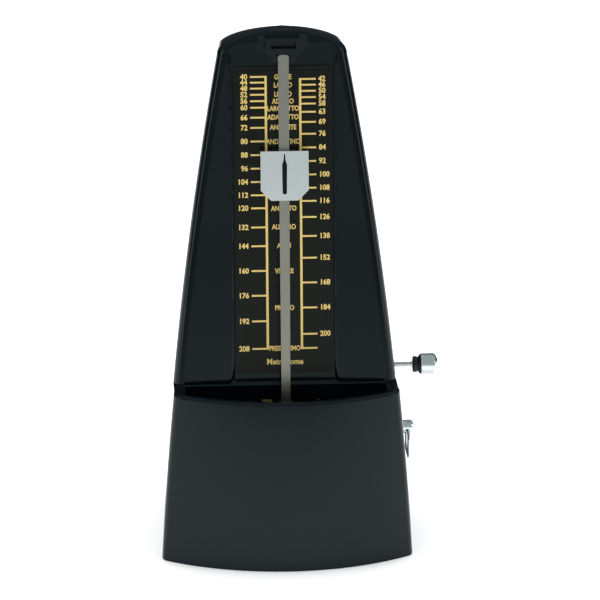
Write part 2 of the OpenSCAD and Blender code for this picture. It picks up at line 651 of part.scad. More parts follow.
// A hook that reaches over one tooth and drops in behind its steep face
function click_points() =
    let (root = ratchet_r - ratchet_depth, tip = ratchet_r,
         p = function(r, a) winding + r * [cos(a), sin(a)] - click_at)
    [p(tip + 0.7, click_bearing + 1), p(tip + 0.6, click_bearing + 15), p(tip + 0.55, click_tooth - 0.2),
     p(root + 0.4, click_tooth + 1), p(root + 1.2, click_tooth + 6), p(tip + 1.6, click_tooth + 5),
     p(tip + 2.4, click_tooth - 5), [-2.3, 1.2], [-0.8, 2.4], [1.2, 2.2], [2.3, 0.6], [2, -1.6]];
module click() color([0.5, 0.52, 0.55]) on_arbor(click_at, ratchet_x) difference() {
    linear_extrude(ratchet_t) polygon(click_points());
    translate([0, 0, -1]) cylinder(r = click_pin_r + run, h = ratchet_t + 2);
}
click_root = 1.2;
click_head = ratchet_x + ratchet_t + 0.2;
module click_screw() color("silver") on_arbor(click_at, right_out - click_root) difference() {
    union() {
        cylinder(r = click_pin_r, h = click_head + 0.1 - right_out + click_root);
        translate([0, 0, click_head - right_out + click_root]) cylinder(r = 1.9, h = 0.9);
    }
    translate([-driver_w / 2, -driver_t / 2, click_head - right_out + click_root + driver_deep])
        cube([driver_w, driver_t, 2]);
}

// ================= train =================
barrel_wall = 1;
module barrel() color("goldenrod") on_arbor(winding, barrel_x) difference() {
    cylinder(r = barrel_r, h = barrel_l, $fn = 72);
    translate([0, 0, -1]) cylinder(r = barrel_r - barrel_wall, h = barrel_l - barrel_wall + 1, $fn = 72);
    translate([0, 0, -1]) cylinder(r = winding_r + run, h = barrel_l + 2);
}
module barrel_cover() color("goldenrod") on_arbor(winding, barrel_x)
    ring(barrel_r - barrel_wall, winding_r + run, barrel_wall);
module great_wheel() color("goldenrod") on_arbor(winding, great_x)
    windowed_wheel(great_teeth, great_module, 0, great_t, winding_r + run, 5, 3, 10);
spring_turns = 7;
spring_steps = 18 * spring_turns;
leaf_t = 0.32;
module mainspring() color([0.35, 0.37, 0.42]) on_arbor(winding, barrel_x + barrel_wall + 0.3)
    linear_extrude(barrel_l - 2 * barrel_wall - 0.6) polygon(concat(
        [for (i = [0:spring_steps]) spiral(i)],
        [for (i = [spring_steps:-1:0]) spiral(i) * (1 + leaf_t / norm(spiral(i)))]));
function spiral(i) = let (a = i * 20, r0 = winding_r + 0.8, r1 = barrel_r - barrel_wall - 0.6,
    r = r0 + (r1 - r0) * i / spring_steps) r * [cos(a), sin(a)];

module second_arbor() color("silver") {
    on_arbor(second, -left_plate_x - 0.4) cylinder(r = arbor_r, h = left_plate_x + middle_right + 0.8);
    on_arbor(second, great_x - 1) gear(second_pinion_teeth, great_module, second_pinion_angle, great_t + 2);
}
module second_wheel() color("goldenrod") on_arbor(second, second_x)
    windowed_wheel(second_teeth, second_module, 0, 1.5, arbor_r, 4, 2, 5.4);
module escape_arbor() color("silver") {
    on_arbor(escape, -left_plate_x - 0.4) cylinder(r = arbor_r, h = left_plate_x + escape_x - 0.8);
    on_arbor(escape, second_x - 1) gear(escape_pinion_teeth, second_module, escape_pinion_angle, 3.5);
}
rim_t = 2.5;
tooth_h = 1.9;
module escape_wheel() color("goldenrod") on_arbor(escape, escape_x - tooth_h - rim_t) {
    ring(escape_r + 1, escape_r - 1, rim_t);
    difference() {
        cylinder(r = escape_r - 1 + eps, h = 1.2);
        translate([0, 0, -1]) cylinder(r = arbor_r, h = 4);
        for (i = [0:3]) rotate(i * 90 + 45) translate([5, 0, -1]) cylinder(r = 2, h = 4);
    }
    for (i = [0:escape_teeth - 1]) rotate(i * 360 / escape_teeth)
        translate([escape_r - 0.8, 0, rim_t]) rotate([90, 0, 90])
            linear_extrude(1.6) polygon([[-0.9, -0.2], [1.5, -0.2], [-0.5, tooth_h], [-0.9, tooth_h]]);
}
module bell_wheel() color("goldenrod") on_arbor(escape, bell_wheel_x)
    windowed_wheel(bell_wheel_teeth, bell_module, 0, 1.5, arbor_r, 4, 1.8, 5);
drum_x = drum_mid - 2.5 * pull_step - 0.3;
drum_l = 5 * pull_step + 0.6;
module drum_arbor() color("silver") {
    on_arbor(drum, bell_wheel_x - 1.2) cylinder(r = arbor_r, h = right_out + 0.4 - bell_wheel_x + 1.2);
    on_arbor(drum, bell_wheel_x - 1) gear(drum_pinion_teeth, bell_module, drum_pinion_angle, 3.5);
}
// Four rows of cams beside one plain row: the drum turns once in twelve beats
cam_counts = [0, 2, 3, 4, 6];
module bell_drum() color("goldenrod") on_arbor(drum, drum_x) {
    ring(cam_r - 1.8, arbor_r, drum_l);
    for (row = [1:4]) for (i = [0:cam_counts[row] - 1])
        rotate(i * 360 / cam_counts[row]) translate([cam_r - 2.1, -0.6, 0.3 + row * pull_step + 0.5])
            cube([2.1, 1.2, pull_step - 1]);
}

// ================= pendulum =================
verge_end = rear_cock_y + cock_t + arbor_end;
verge_flange_r = 2.5;
verge_flange_t = 1;
module verge_arbor() color("silver") pendulum_frame() {
    along_pivot(rod_t / 2) cylinder(r = verge_r, h = verge_end - rod_t / 2);
    along_pivot(rod_t / 2) cylinder(r = verge_flange_r, h = verge_flange_t);
}
pallet_w = 3;
pallet_lean = 40;
module pallets() color([0.5, 0.52, 0.55]) pendulum_frame()
    for (s = [-1, 1]) translate([0, escape_back + s * escape_r - pallet_w / 2, 0])
        rotate([0, -s * pallet_lean, 0]) difference() {
            translate([-pallet_r, 0, -0.5]) cube([pallet_r, pallet_w, 1]);
            translate([0, -1, 0]) rotate([-90, 0, 0]) cylinder(r = verge_r, h = pallet_w + 2);
        }
tail_w = 4.4;
tip_cut = 0.8;
module pendulum_rod() color([0.5, 0.49, 0.47]) pendulum_frame() rod_slab(rod_t) {
    polygon([[-rod_foot_w / 2, 0], [-tail_w / 2, -2], [-tail_w / 2, -tail_l], [tail_w / 2, -tail_l],
        [tail_w / 2, -2], [rod_foot_w / 2, 0], [rod_tip_w / 2, rod_l - tip_cut],
        [rod_tip_w / 2 - tip_cut, rod_l], [tip_cut - rod_tip_w / 2, rod_l],
        [-rod_tip_w / 2, rod_l - tip_cut]]);
}
bob_front = 11;
bob_screw_r = 1.5;
bob_head_r = 3;
bob_head_t = 1.4;
module counterweight() color([0.42, 0.43, 0.45]) pendulum_frame() translate([0, 0, -bob_drop])
    difference() {
        along_pivot(-bob_front) cylinder(r = bob_r, h = bob_t, $fn = 72);
        rod_slab(rod_t) square([tail_w, 40], center = true);
        along_pivot(-bob_front - 1) cylinder(r = bob_screw_r, h = bob_front + 1);
    }
module counterweight_screw() color("silver") pendulum_frame() translate([0, 0, -bob_drop])
    difference() {
        union() {
            along_pivot(-bob_front) cylinder(r = bob_screw_r, h = bob_front - rod_t / 2);
            along_pivot(-bob_front - bob_head_t) cylinder(r = bob_head_r, h = bob_head_t);
        }
        translate([-4, -bob_front - bob_head_t - 1, -0.4]) cube([8, 1.7, 0.8]);
    }

// ================= sliding weight =================
weight_play = 0.12;
pocket_t = 1.8;
pocket_w = 3.4;
pocket_h = 9;
weight_spring_w = 3;
bevel_lean = 38;
bevel_deep = 1.05;
bevel_wide = 3.4;
// The sight slot: a fine neck that widens to a needle's eye, round at its foot
sight_tip = 0.25;
sight_neck = 0.4;
sight_foot_r = sight_w * 0.43;
sight_foot = 3.5;
sight_top = weight_h - 1.1;
module sight_outline() {
    polygon([[-sight_tip, sight_top], [sight_tip, sight_top], [sight_neck, sight_top - 2.5],
        [sight_w / 2, sight_top - 4.6], [sight_foot_r, sight_foot], [-sight_foot_r, sight_foot],
        [-sight_w / 2, sight_top - 4.6], [-sight_neck, sight_top - 2.5]]);
    translate([0, sight_foot]) circle(r = sight_foot_r);
}
module weight_outline() polygon([
    [-weight_w / 2, weight_h], [-weight_w / 2, weight_chamfer], [-weight_w / 2 + weight_chamfer, 0],
    [weight_w / 2 - weight_chamfer, 0], [weight_w / 2, weight_chamfer], [weight_w / 2, weight_h]]);
module sliding_weight() color([0.86, 0.87, 0.89]) pendulum_frame()
    translate([0, 0, weight_top - weight_h]) difference() {
        rod_slab(weight_t) weight_outline();
        // bevels along the front face's sides
        for (s = [-1, 1]) translate([s * weight_w / 2, -weight_t / 2, -1]) rotate([0, 0, s * bevel_lean])
            translate([-4, -bevel_wide, 0]) cube([8, bevel_wide - bevel_deep, weight_h + 2]);
        translate([0, 0, weight_h / 2]) cube([rod_tip_w + 2 * weight_play, rod_t + 2 * weight_play,
            weight_h + 2], center = true);
        rod_slab(weight_t, -weight_t / 2) sight_outline();
        rod_slab(pocket_t, (rod_t + pocket_t) / 2 + weight_play - eps) translate([0, weight_h / 2])
            square([pocket_w, pocket_h], center = true);
    }
module weight_spring() color([0.5, 0.52, 0.55]) pendulum_frame()
    translate([0, rod_t / 2 + weight_play + 0.05, weight_top - weight_h / 2]) rotate([90, 0, 90])
        translate([0, 0, -weight_spring_w / 2]) linear_extrude(weight_spring_w) polygon([
            [1.3, -4.4], [1.65, -4.4], [1.65, 4.4], [1.3, 4.4], [0.25, 1.2], [0, 0], [0.25, -1.2]]);

// ================= bell pull =================
pull_left = -19;
groove = 0.25;
groove_w = 0.8;
detent_x = -3;
stop_x = wall_out_pull + pull_gap;
collar_t = 0.8;
hammer_hub_x = drum_mid - hammer_hub_l / 2;
module pull_rod() color("silver") on_arbor(pull, pull_left) difference() {
    union() {
        cylinder(r = pull_r, h = stop_x + stop_t - pull_left);
        translate([0, 0, stop_x - 0.6 - pull_left]) cylinder(r = pull_r + groove, h = 0.6);
    }
    for (i = [-2:2]) translate([0, 0, detent_x - pull_left + i * pull_step - groove_w / 2])
        ring(pull_r + 1, pull_r - groove, groove_w);
}
module pull_collars() color("goldenrod")
    for (x = [hammer_hub_x - 0.1 - collar_t, hammer_hub_x + hammer_hub_l + 0.1])
        on_arbor(pull, x) ring(pull_r + 1.1, pull_r, collar_t);
module stop_ring() color([0.05, 0.05, 0.05]) on_arbor(pull, stop_x) difference() {
    rotate_extrude() polygon([[pull_r, 0], [stop_r - 0.4, 0], [stop_r, 0.4], [stop_r, stop_t - 0.4],
        [stop_r - 0.4, stop_t], [pull_r, stop_t]]);
}
module pull_knob() color([0.86, 0.87, 0.89]) on_arbor(pull, stop_x + stop_t) rotate_extrude($fn = 72)
    polygon([[0, 0], [stop_r - 0.2, 0], [knob_r - 0.5, 0.7], [knob_r, 1.3], [knob_r, knob_l - 1.6],
        [knob_r - 0.5, knob_l - 0.9], [knob_r - 1.8, knob_l], [0, knob_l]]);

// ================= hammer =================
head_radius = 2.6;
strike_gap = 0.5;
strike = bell_r + head_radius + strike_gap;
bell_way = bell_at - pull;
arm_l = sqrt(bell_way * bell_way - strike * strike);
arm_angle = bearing(pull, bell_at) + acos(arm_l / norm(bell_way));
finger_angle = bearing(pull, drum);
finger_l = norm(drum - pull) - cam_r - 0.3;
hub_out = 2.3;
arm_t = 1.2;
arm_pin_r = 1;
head_half = 2.2;
module hammer() color("goldenrod") on_arbor(pull, hammer_hub_x) difference() {
    union() {
        cylinder(r = hub_out, h = hammer_hub_l);
        translate([0, 0, (hammer_hub_l - arm_t) / 2]) rotate(finger_angle)
            linear_extrude(arm_t) polygon([[0, -1.6], [finger_l, -0.6], [finger_l, 0.6], [0, 1.6]]);
        translate([0, 0, hammer_hub_l - 2 * arm_t]) rotate(arm_angle)
            linear_extrude(arm_t) polygon([[0, -1.8], [arm_l, -arm_pin_r], [arm_l, arm_pin_r], [0, 1.8]]);
    }
    translate([0, 0, -1]) cylinder(r = pull_r + run, h = hammer_hub_l + 2);
    translate([0, 0, -1]) rotate(arm_angle) translate([arm_l, 0])
        cylinder(r = arm_pin_r, h = hammer_hub_l + 2);
}
module hammer_head() color([0.42, 0.43, 0.45]) on_arbor(pull, hammer_hub_x + hammer_hub_l - 2 * arm_t)
    rotate(arm_angle) translate([arm_l, 0, 0]) {
        translate([0, 0, -head_half]) cylinder(r = head_radius, h = head_half);
        cylinder(r = arm_pin_r, h = arm_t + eps);
        translate([0, 0, arm_t]) cylinder(r = head_radius, h = head_half);
    }

housing();
base_plate();
rubber_feet();
base_screws();
scale_plate();
rod_catch();
left_plate();
middle_plate();
right_plate();
frame_pillars();
movement_screws();
front_cock();
rear_cock();
bell();
bell_post();
bell_screw();
pull_bush();
click_spring();
detent_spring();
winding_arbor();
ratchet_wheel();
key_hub();
key_ring();
barrel();
barrel_cover();
great_wheel();
mainspring();
second_arbor();
second_wheel();
escape_arbor();
escape_wheel();
bell_wheel();
drum_arbor();
bell_drum();
verge_arbor();
pallets();
pendulum_rod();
counterweight();
counterweight_screw();
sliding_weight();
weight_spring();
pull_rod();
pull_collars();
stop_ring();
pull_knob();
hammer();
hammer_head();
click();
click_screw();
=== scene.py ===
"""Wind-up pyramid metronome: fine surfaces, scale print, finishes and a plain studio."""
import json
import logging
import math
from dataclasses import dataclass, field
from enum import Enum
from typing import Callable, Iterable, Sequence

import bmesh
import bpy
from mathutils import Matrix, Vector


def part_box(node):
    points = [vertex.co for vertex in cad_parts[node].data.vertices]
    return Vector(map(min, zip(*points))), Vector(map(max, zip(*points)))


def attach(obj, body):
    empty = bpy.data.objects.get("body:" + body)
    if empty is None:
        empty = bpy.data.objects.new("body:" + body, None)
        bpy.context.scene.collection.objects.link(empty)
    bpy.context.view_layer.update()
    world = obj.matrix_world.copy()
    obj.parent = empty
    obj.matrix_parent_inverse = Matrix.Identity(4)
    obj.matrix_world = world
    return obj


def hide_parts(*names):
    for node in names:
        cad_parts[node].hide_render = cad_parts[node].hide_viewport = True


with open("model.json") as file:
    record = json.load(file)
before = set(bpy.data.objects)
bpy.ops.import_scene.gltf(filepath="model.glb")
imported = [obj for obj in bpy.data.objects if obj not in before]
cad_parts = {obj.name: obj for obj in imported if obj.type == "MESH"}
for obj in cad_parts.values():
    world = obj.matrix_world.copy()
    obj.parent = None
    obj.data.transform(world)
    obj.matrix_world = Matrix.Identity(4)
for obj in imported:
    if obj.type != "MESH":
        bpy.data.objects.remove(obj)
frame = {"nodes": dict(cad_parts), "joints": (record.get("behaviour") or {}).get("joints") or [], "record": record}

log = logging.getLogger("metronome")
MM = 0.001
SAME_POINT = 0.0004 * MM
FLAT_ANGLE = 0.4
AXIS_RADIUS = 1e-6
SMALL_HOLE_STEPS = 64
Point2 = tuple[float, float]
Entry = bpy.types.NodeSocket | float


# ---------------------------------------------------------------- finishes

class Grain(Enum):
    """The kinds of fine surface that the pieces have."""

    MOULDED = "moulded"
    PEBBLED = "pebbled"
    BRUSHED = "brushed"
    TURNED = "turned"
    CAST = "cast"
    PLATED = "plated"


@dataclass(frozen=True)
class Finish:
    """One finish: a colour, a gloss, and the fine grain that breaks it up."""

    name: str
    colour: tuple[float, float, float]
    roughness: float
    metallic: float = 0.0
    ior: float = 1.45
    grain: Grain = Grain.MOULDED
    grain_size: float = 0.6
    grain_depth: float = 0.02
    smudge: float = 0.05
    drift: float = 0.12
    wear: float = 0.0
    wear_colour: tuple[float, float, float] = (0.3, 0.3, 0.3)
    tint: tuple[float, float, float] = (1.0, 1.0, 1.0)
    brush_axis: tuple[float, float, float] = (1.0, 1.0, 0.04)


GLOSS_BLACK = Finish("gloss_black_plastic", (0.0022, 0.0036, 0.0052), 0.075, ior=1.33, grain_size=1.8,
                     grain_depth=0.003, smudge=0.06, wear=0.05, wear_colour=(0.02, 0.024, 0.028),
                     tint=(0.8, 0.95, 1.0))
MATT_BLACK = Finish("matt_black_plastic", (0.014, 0.015, 0.016), 0.5, grain=Grain.PEBBLED, grain_size=0.5,
                    grain_depth=0.05, wear=0.15, wear_colour=(0.05, 0.05, 0.052))
SATIN_BLACK = Finish("satin_black_plastic", (0.0025, 0.0035, 0.0045), 0.13, ior=1.38, grain=Grain.PEBBLED,
                     grain_size=0.35, grain_depth=0.005, smudge=0.08, wear=0.05,
                     wear_colour=(0.02, 0.022, 0.024), tint=(0.8, 0.95, 1.0))
SCALE_BLACK = Finish("scale_black", (0.0035, 0.0042, 0.0032), 0.26, ior=1.3, grain=Grain.PEBBLED,
                     grain_size=0.22, grain_depth=0.02, smudge=0.07, tint=(0.9, 1.0, 0.85))
GOLD_INK = Finish("gold_ink", (0.94, 0.68, 0.22), 0.42, metallic=0.1, grain=Grain.PEBBLED, grain_size=0.12,
                  grain_depth=0.03, smudge=0.1, drift=0.22)
RUBBER = Finish("black_rubber", (0.02, 0.02, 0.02), 0.72, grain=Grain.PEBBLED, grain_size=0.3,
                grain_depth=0.05, wear=0.1, wear_colour=(0.06, 0.06, 0.06))
# a black gloss for the fill that sits in the weight's sight slot, so that the slot reads black
SIGHT_FILL_BLACK = Finish("sight_fill_black", (0.002, 0.0045, 0.004), 0.12, ior=1.25, grain_size=0.5, grain_depth=0.004,
                smudge=0.05)
RING_RUBBER = Finish("ring_rubber", (0.006, 0.006, 0.0065), 0.38, grain=Grain.PEBBLED, grain_size=0.25,
                     grain_depth=0.03)
CHROME = Finish("chrome_plate", (0.68, 0.725, 0.73), 0.06, metallic=1.0, grain=Grain.PLATED, grain_size=2.5,
                grain_depth=0.0006, smudge=0.05, drift=0.02)
NICKEL = Finish("nickel_plate", (0.72, 0.71, 0.68), 0.16, metallic=1.0, grain=Grain.TURNED, grain_size=0.25,
                grain_depth=0.01, smudge=0.08, drift=0.05)
ROD_STEEL = Finish("rolled_steel_strip", (0.29, 0.285, 0.24), 0.34, metallic=1.0, grain=Grain.BRUSHED,
                   grain_size=0.12, grain_depth=0.03, smudge=0.12, drift=0.14)
BRIGHT_STEEL = Finish("turned_steel", (0.62, 0.62, 0.61), 0.24, metallic=1.0, grain=Grain.TURNED,
                      grain_size=0.15, grain_depth=0.02, smudge=0.1, drift=0.08)
SPRING_STEEL = Finish("spring_steel", (0.3, 0.32, 0.36), 0.28, metallic=1.0, grain=Grain.BRUSHED,
                      grain_size=0.1, grain_depth=0.02, smudge=0.1, drift=0.1)
BRASS = Finish("brushed_brass", (0.78, 0.58, 0.27), 0.27, metallic=1.0, grain=Grain.BRUSHED, grain_size=0.14,
               grain_depth=0.025, smudge=0.12, drift=0.12, brush_axis=(1.0, 0.05, 1.0))
LEAD_GREY = Finish("cast_lead", (0.3, 0.3, 0.31), 0.55, metallic=0.9, grain=Grain.CAST, grain_size=0.9,
                   grain_depth=0.12, smudge=0.12, drift=0.2)


class Finisher:
    """Builds the shared shader groups once, and a material from each finish."""

    def __init__(self) -> None:
        """Starts with no groups and no materials."""
        self.groups: dict[str, bpy.types.NodeTree] = {}
        self.materials: dict[str, bpy.types.Material] = {}

    @staticmethod
    def socket(tree: bpy.types.NodeTree, name: str, kind: str, output: bool = False,
               value: float | tuple[float, ...] | None = None) -> None:
        """Adds a socket to a group.

        Args:
            tree: the group.
            name: the socket's name.
            kind: Float, Color or Vector.
            output: True for an output.
            value: the default value of an input.
        """
        made = tree.interface.new_socket(name=name, in_out="OUTPUT" if output else "INPUT",
                                         socket_type=f"NodeSocket{kind}")
        if value is not None:
            made.default_value = value

    def group(self, name: str, build: Callable[[bpy.types.NodeTree], None]) -> bpy.types.NodeTree:
        """Returns the group of that name, built on first use.

        Args:
            name: the group's name.
            build: fills an empty group.

        Returns:
            The shader node group.
        """
        if name not in self.groups:
            tree = bpy.data.node_groups.new(name, "ShaderNodeTree")
            build(tree)
            self.groups[name] = tree
        return self.groups[name]

    @staticmethod
    def math(tree: bpy.types.NodeTree, operation: str, a: Entry, b: Entry | None = None,
             clamp: bool = False) -> bpy.types.NodeSocket:
        """Adds a Math node.

        Args:
            tree: where it goes.
            operation: the node's operation.
            a: a socket or a number.
            b: a socket or a number, for the second input.
            clamp: keeps the result from 0 to 1.

        Returns:
            The node's output socket.
        """
        node = tree.nodes.new("ShaderNodeMath")
        node.operation = operation
        node.use_clamp = clamp
        for slot, value in enumerate((a, b)):
            if isinstance(value, bpy.types.NodeSocket):
                tree.links.new(value, node.inputs[slot])
            elif value is not None:
                node.inputs[slot].default_value = value
        return node.outputs[0]

    @staticmethod
    def noise(tree: bpy.types.NodeTree, vector: bpy.types.NodeSocket, scale: Entry, detail: float,
              roughness: float = 0.5) -> bpy.types.NodeSocket:
        """Adds a noise texture.

        Args:
            tree: where it goes.
            vector: the socket that holds the place.
            scale: a socket or a number, in features a metre.
            detail: octaves.
            roughness: the weight of the finer octaves.

        Returns:
            The node's value socket.
        """
        node = tree.nodes.new("ShaderNodeTexNoise")
        node.inputs["Detail"].default_value = detail
        node.inputs["Roughness"].default_value = roughness
        tree.links.new(vector, node.inputs["Vector"])
        if isinstance(scale, bpy.types.NodeSocket):
            tree.links.new(scale, node.inputs["Scale"])
        else:
            node.inputs["Scale"].default_value = scale
        return node.outputs["Fac"]

    def build_smudges(self, tree: bpy.types.NodeTree) -> None:
        """Handling marks: soft blots and fine hairlines that vary the gloss.

        Args:
            tree: the empty group.
        """
        blots_per_metre = 38.0
        hairs_per_metre = 2600.0
        usual_mask = 0.4
        self.socket(tree, "Place", "Vector")
        self.socket(tree, "Roughness", "Float", value=0.2)
        self.socket(tree, "Amount", "Float", value=0.05)
        self.socket(tree, "Roughness", "Float", output=True)
        self.socket(tree, "Mask", "Float", output=True)
        given = tree.nodes.new("NodeGroupInput")
        result = tree.nodes.new("NodeGroupOutput")
        blots = self.noise(tree, given.outputs["Place"], blots_per_metre, 4.0)
        stretch = tree.nodes.new("ShaderNodeMapping")
        stretch.inputs["Scale"].default_value = (1.0, 1.0, 0.15)
        stretch.inputs["Rotation"].default_value = (0.3, 0.5, 0.7)
        tree.links.new(given.outputs["Place"], stretch.inputs["Vector"])
        hairs = self.noise(tree, stretch.outputs[0], hairs_per_metre, 2.0)
        sharp = self.math(tree, "POWER", hairs, 3.0)
        mask = self.math(tree, "ADD", self.math(tree, "MULTIPLY", blots, 0.75), sharp, clamp=True)
        tree.links.new(mask, result.inputs["Mask"])
        signed = self.math(tree, "SUBTRACT", mask, usual_mask)
        change = self.math(tree, "MULTIPLY", signed, given.outputs["Amount"])
        tree.links.new(self.math(tree, "ADD", given.outputs["Roughness"], change, clamp=True),
                       result.inputs["Roughness"])

    def build_drift(self, tree: bpy.types.NodeTree) -> None:
        """A slow drift of tone over a surface, with a finer mottle on it.

        Args:
            tree: the empty group.
        """
        drifts_per_metre = 26.0
        mottles_per_metre = 900.0
        slow_share = 0.65
        self.socket(tree, "Place", "Vector")
        self.socket(tree, "Colour", "Color", value=(0.5, 0.5, 0.5, 1.0))
        self.socket(tree, "Amount", "Float", value=0.1)
        self.socket(tree, "Colour", "Color", output=True)
        given = tree.nodes.new("NodeGroupInput")
        result = tree.nodes.new("NodeGroupOutput")
        slow = self.noise(tree, given.outputs["Place"], drifts_per_metre, 3.0)
        fine = self.noise(tree, given.outputs["Place"], mottles_per_metre, 3.0)
        both = self.math(tree, "ADD", self.math(tree, "MULTIPLY", slow, slow_share),
                         self.math(tree, "MULTIPLY", fine, 1 - slow_share))
        signed = self.math(tree, "MULTIPLY", self.math(tree, "SUBTRACT", both, 0.5), 2.0)
        tone = self.math(tree, "ADD", self.math(tree, "MULTIPLY", signed, given.outputs["Amount"]), 1.0)
        scale = tree.nodes.new("ShaderNodeVectorMath")
        scale.operation = "SCALE"
        tree.links.new(given.outputs["Colour"], scale.inputs[0])
        tree.links.new(tone, scale.inputs["Scale"])
        tree.links.new(scale.outputs[0], result.inputs["Colour"])

    def build_wear(self, tree: bpy.types.NodeTree) -> None:
        """Edge wear: a broken mask along convex edges that mixes in the worn colour.

        Args:
            tree: the empty group.
        """
        edge_from = 0.53
        edge_gain = 14.0
        chips_per_metre = 700.0
        self.socket(tree, "Place", "Vector")
        self.socket(tree, "Colour", "Color", value=(0.5, 0.5, 0.5, 1.0))
        self.socket(tree, "Worn Colour", "Color", value=(0.5, 0.5, 0.5, 1.0))
        self.socket(tree, "Amount", "Float", value=0.1)
        self.socket(tree, "Colour", "Color", output=True)
        given = tree.nodes.new("NodeGroupInput")
        result = tree.nodes.new("NodeGroupOutput")
        shape = tree.nodes.new("ShaderNodeNewGeometry")
        above = self.math(tree, "SUBTRACT", shape.outputs["Pointiness"], edge_from)
        edge = self.math(tree, "MULTIPLY", above, edge_gain, clamp=True)
        broken = self.noise(tree, given.outputs["Place"], chips_per_metre, 5.0, 0.65)
        mask = self.math(tree, "MULTIPLY", self.math(tree, "MULTIPLY", edge, broken), given.outputs["Amount"],
                         clamp=True)
        mix = tree.nodes.new("ShaderNodeMix")
        mix.data_type = "RGBA"
        tree.links.new(mask, mix.inputs["Factor"])
        tree.links.new(given.outputs["Colour"], mix.inputs["A"])
        tree.links.new(given.outputs["Worn Colour"], mix.inputs["B"])
        tree.links.new(mix.outputs["Result"], result.inputs["Colour"])

    def build_pebble(self, tree: bpy.types.NodeTree) -> None:
        """Fine moulding grain: a pebbled height.

        Args:
            tree: the empty group.
        """
        cell_share = 0.6
        self.socket(tree, "Place", "Vector")
        self.socket(tree, "Size", "Float", value=1000.0)
        self.socket(tree, "Height", "Float", output=True)
        given = tree.nodes.new("NodeGroupInput")
        result = tree.nodes.new("NodeGroupOutput")
        cells = tree.nodes.new("ShaderNodeTexVoronoi")
        cells.feature = "SMOOTH_F1"
        tree.links.new(given.outputs["Place"], cells.inputs["Vector"])
        tree.links.new(given.outputs["Size"], cells.inputs["Scale"])
        grit = self.noise(tree, given.outputs["Place"], given.outputs["Size"], 3.0)
        height = self.math(tree, "ADD", self.math(tree, "MULTIPLY", cells.outputs["Distance"], cell_share),
                           self.math(tree, "MULTIPLY", grit, 1 - cell_share))
        tree.links.new(height, result.inputs["Height"])

    def build_brush(self, tree: bpy.types.NodeTree) -> None:
        """Brush lines: noise that is stretched along one direction.

        Args:
            tree: the empty group.
        """
        self.socket(tree, "Place", "Vector")
        self.socket(tree, "Stretch", "Vector", value=(1.0, 1.0, 0.05))
        self.socket(tree, "Size", "Float", value=4000.0)
        self.socket(tree, "Height", "Float", output=True)
        given = tree.nodes.new("NodeGroupInput")
        result = tree.nodes.new("NodeGroupOutput")
        squeeze = tree.nodes.new("ShaderNodeVectorMath")
        squeeze.operation = "MULTIPLY"
        tree.links.new(given.outputs["Place"], squeeze.inputs[0])
        tree.links.new(given.outputs["Stretch"], squeeze.inputs[1])
        lines = self.noise(tree, squeeze.outputs[0], given.outputs["Size"], 4.0, 0.6)
        tree.links.new(lines, result.inputs["Height"])

    def place_group(self, tree: bpy.types.NodeTree, name: str, build: Callable, **values) -> bpy.types.Node:
        """Places a shared group in a material.

        Args:
            tree: the material's tree.
            name: the group's name.
            build: the group's builder.
            values: input values or sockets, with underscores for spaces.

        Returns:
            The group node.
        """
        node = tree.nodes.new("ShaderNodeGroup")
        node.node_tree = self.group(name, build)
        for key, value in values.items():
            entry = node.inputs[key.replace("_", " ")]
            if isinstance(value, bpy.types.NodeSocket):
                tree.links.new(value, entry)
            else:
                entry.default_value = value
        return node

    def material(self, finish: Finish) -> bpy.types.Material:
        """Returns the material of a finish, built on first use.

        Args:
            finish: the finish.

        Returns:
            The material.
        """
        if finish.name in self.materials:
            return self.materials[finish.name]
        made = bpy.data.materials.new(finish.name)
        made.use_nodes = True
        made.diffuse_color = (*finish.colour, 1.0)
        tree = made.node_tree
        shader = tree.nodes["Principled BSDF"]
        shader.inputs["Metallic"].default_value = finish.metallic
        shader.inputs["IOR"].default_value = finish.ior
        shader.inputs["Specular Tint"].default_value = (*finish.tint, 1.0)
        place = tree.nodes.new("ShaderNodeTexCoord").outputs["Object"]
        smudges = self.place_group(tree, "handling_smudges", self.build_smudges, Place=place,
                                   Roughness=finish.roughness, Amount=finish.smudge)
        tree.links.new(smudges.outputs["Roughness"], shader.inputs["Roughness"])
        drift = self.place_group(tree, "tone_drift", self.build_drift, Place=place,
                                 Colour=(*finish.colour, 1.0), Amount=finish.drift)
        colour = drift.outputs["Colour"]
        if finish.wear:
            wear = self.place_group(tree, "edge_wear", self.build_wear, Place=place, Colour=colour,
                                    Worn_Colour=(*finish.wear_colour, 1.0), Amount=finish.wear)
            colour = wear.outputs["Colour"]
        tree.links.new(colour, shader.inputs["Base Color"])
        per_metre = 1.0 / (finish.grain_size * MM)
        if finish.grain in (Grain.BRUSHED, Grain.TURNED):
            stretch = finish.brush_axis if finish.grain is Grain.BRUSHED else (1.0, 0.08, 0.08)
            grain = self.place_group(tree, "brush_lines", self.build_brush, Place=place, Size=per_metre,
                                     Stretch=stretch)
        else:
            grain = self.place_group(tree, "moulding_grain", self.build_pebble, Place=place, Size=per_metre)
        bump = tree.nodes.new("ShaderNodeBump")
        bump.inputs["Strength"].default_value = 1.0
        bump.inputs["Distance"].default_value = finish.grain_depth * MM
        tree.links.new(grain.outputs["Height"], bump.inputs["Height"])
        tree.links.new(bump.outputs["Normal"], shader.inputs["Normal"])
        self.materials[finish.name] = made
        return made

    def dress(self, piece: bpy.types.Object, finish: Finish) -> None:
        """Gives a piece one material all over.

        Args:
            piece: the piece.
            finish: its finish.
        """
        piece.data.materials.clear()
        piece.data.materials.append(self.material(finish))


# ---------------------------------------------------------------- mesh tools

def new_piece(name: str, mesh: bpy.types.Mesh) -> bpy.types.Object:
    """Puts a mesh in the scene.

    Args:
        name: the piece's name.
        mesh: its mesh, or the curve of a piece of lettering.

    Returns:
        The piece.
    """
    piece = bpy.data.objects.new(name, mesh)
    bpy.context.scene.collection.objects.link(piece)
    return piece


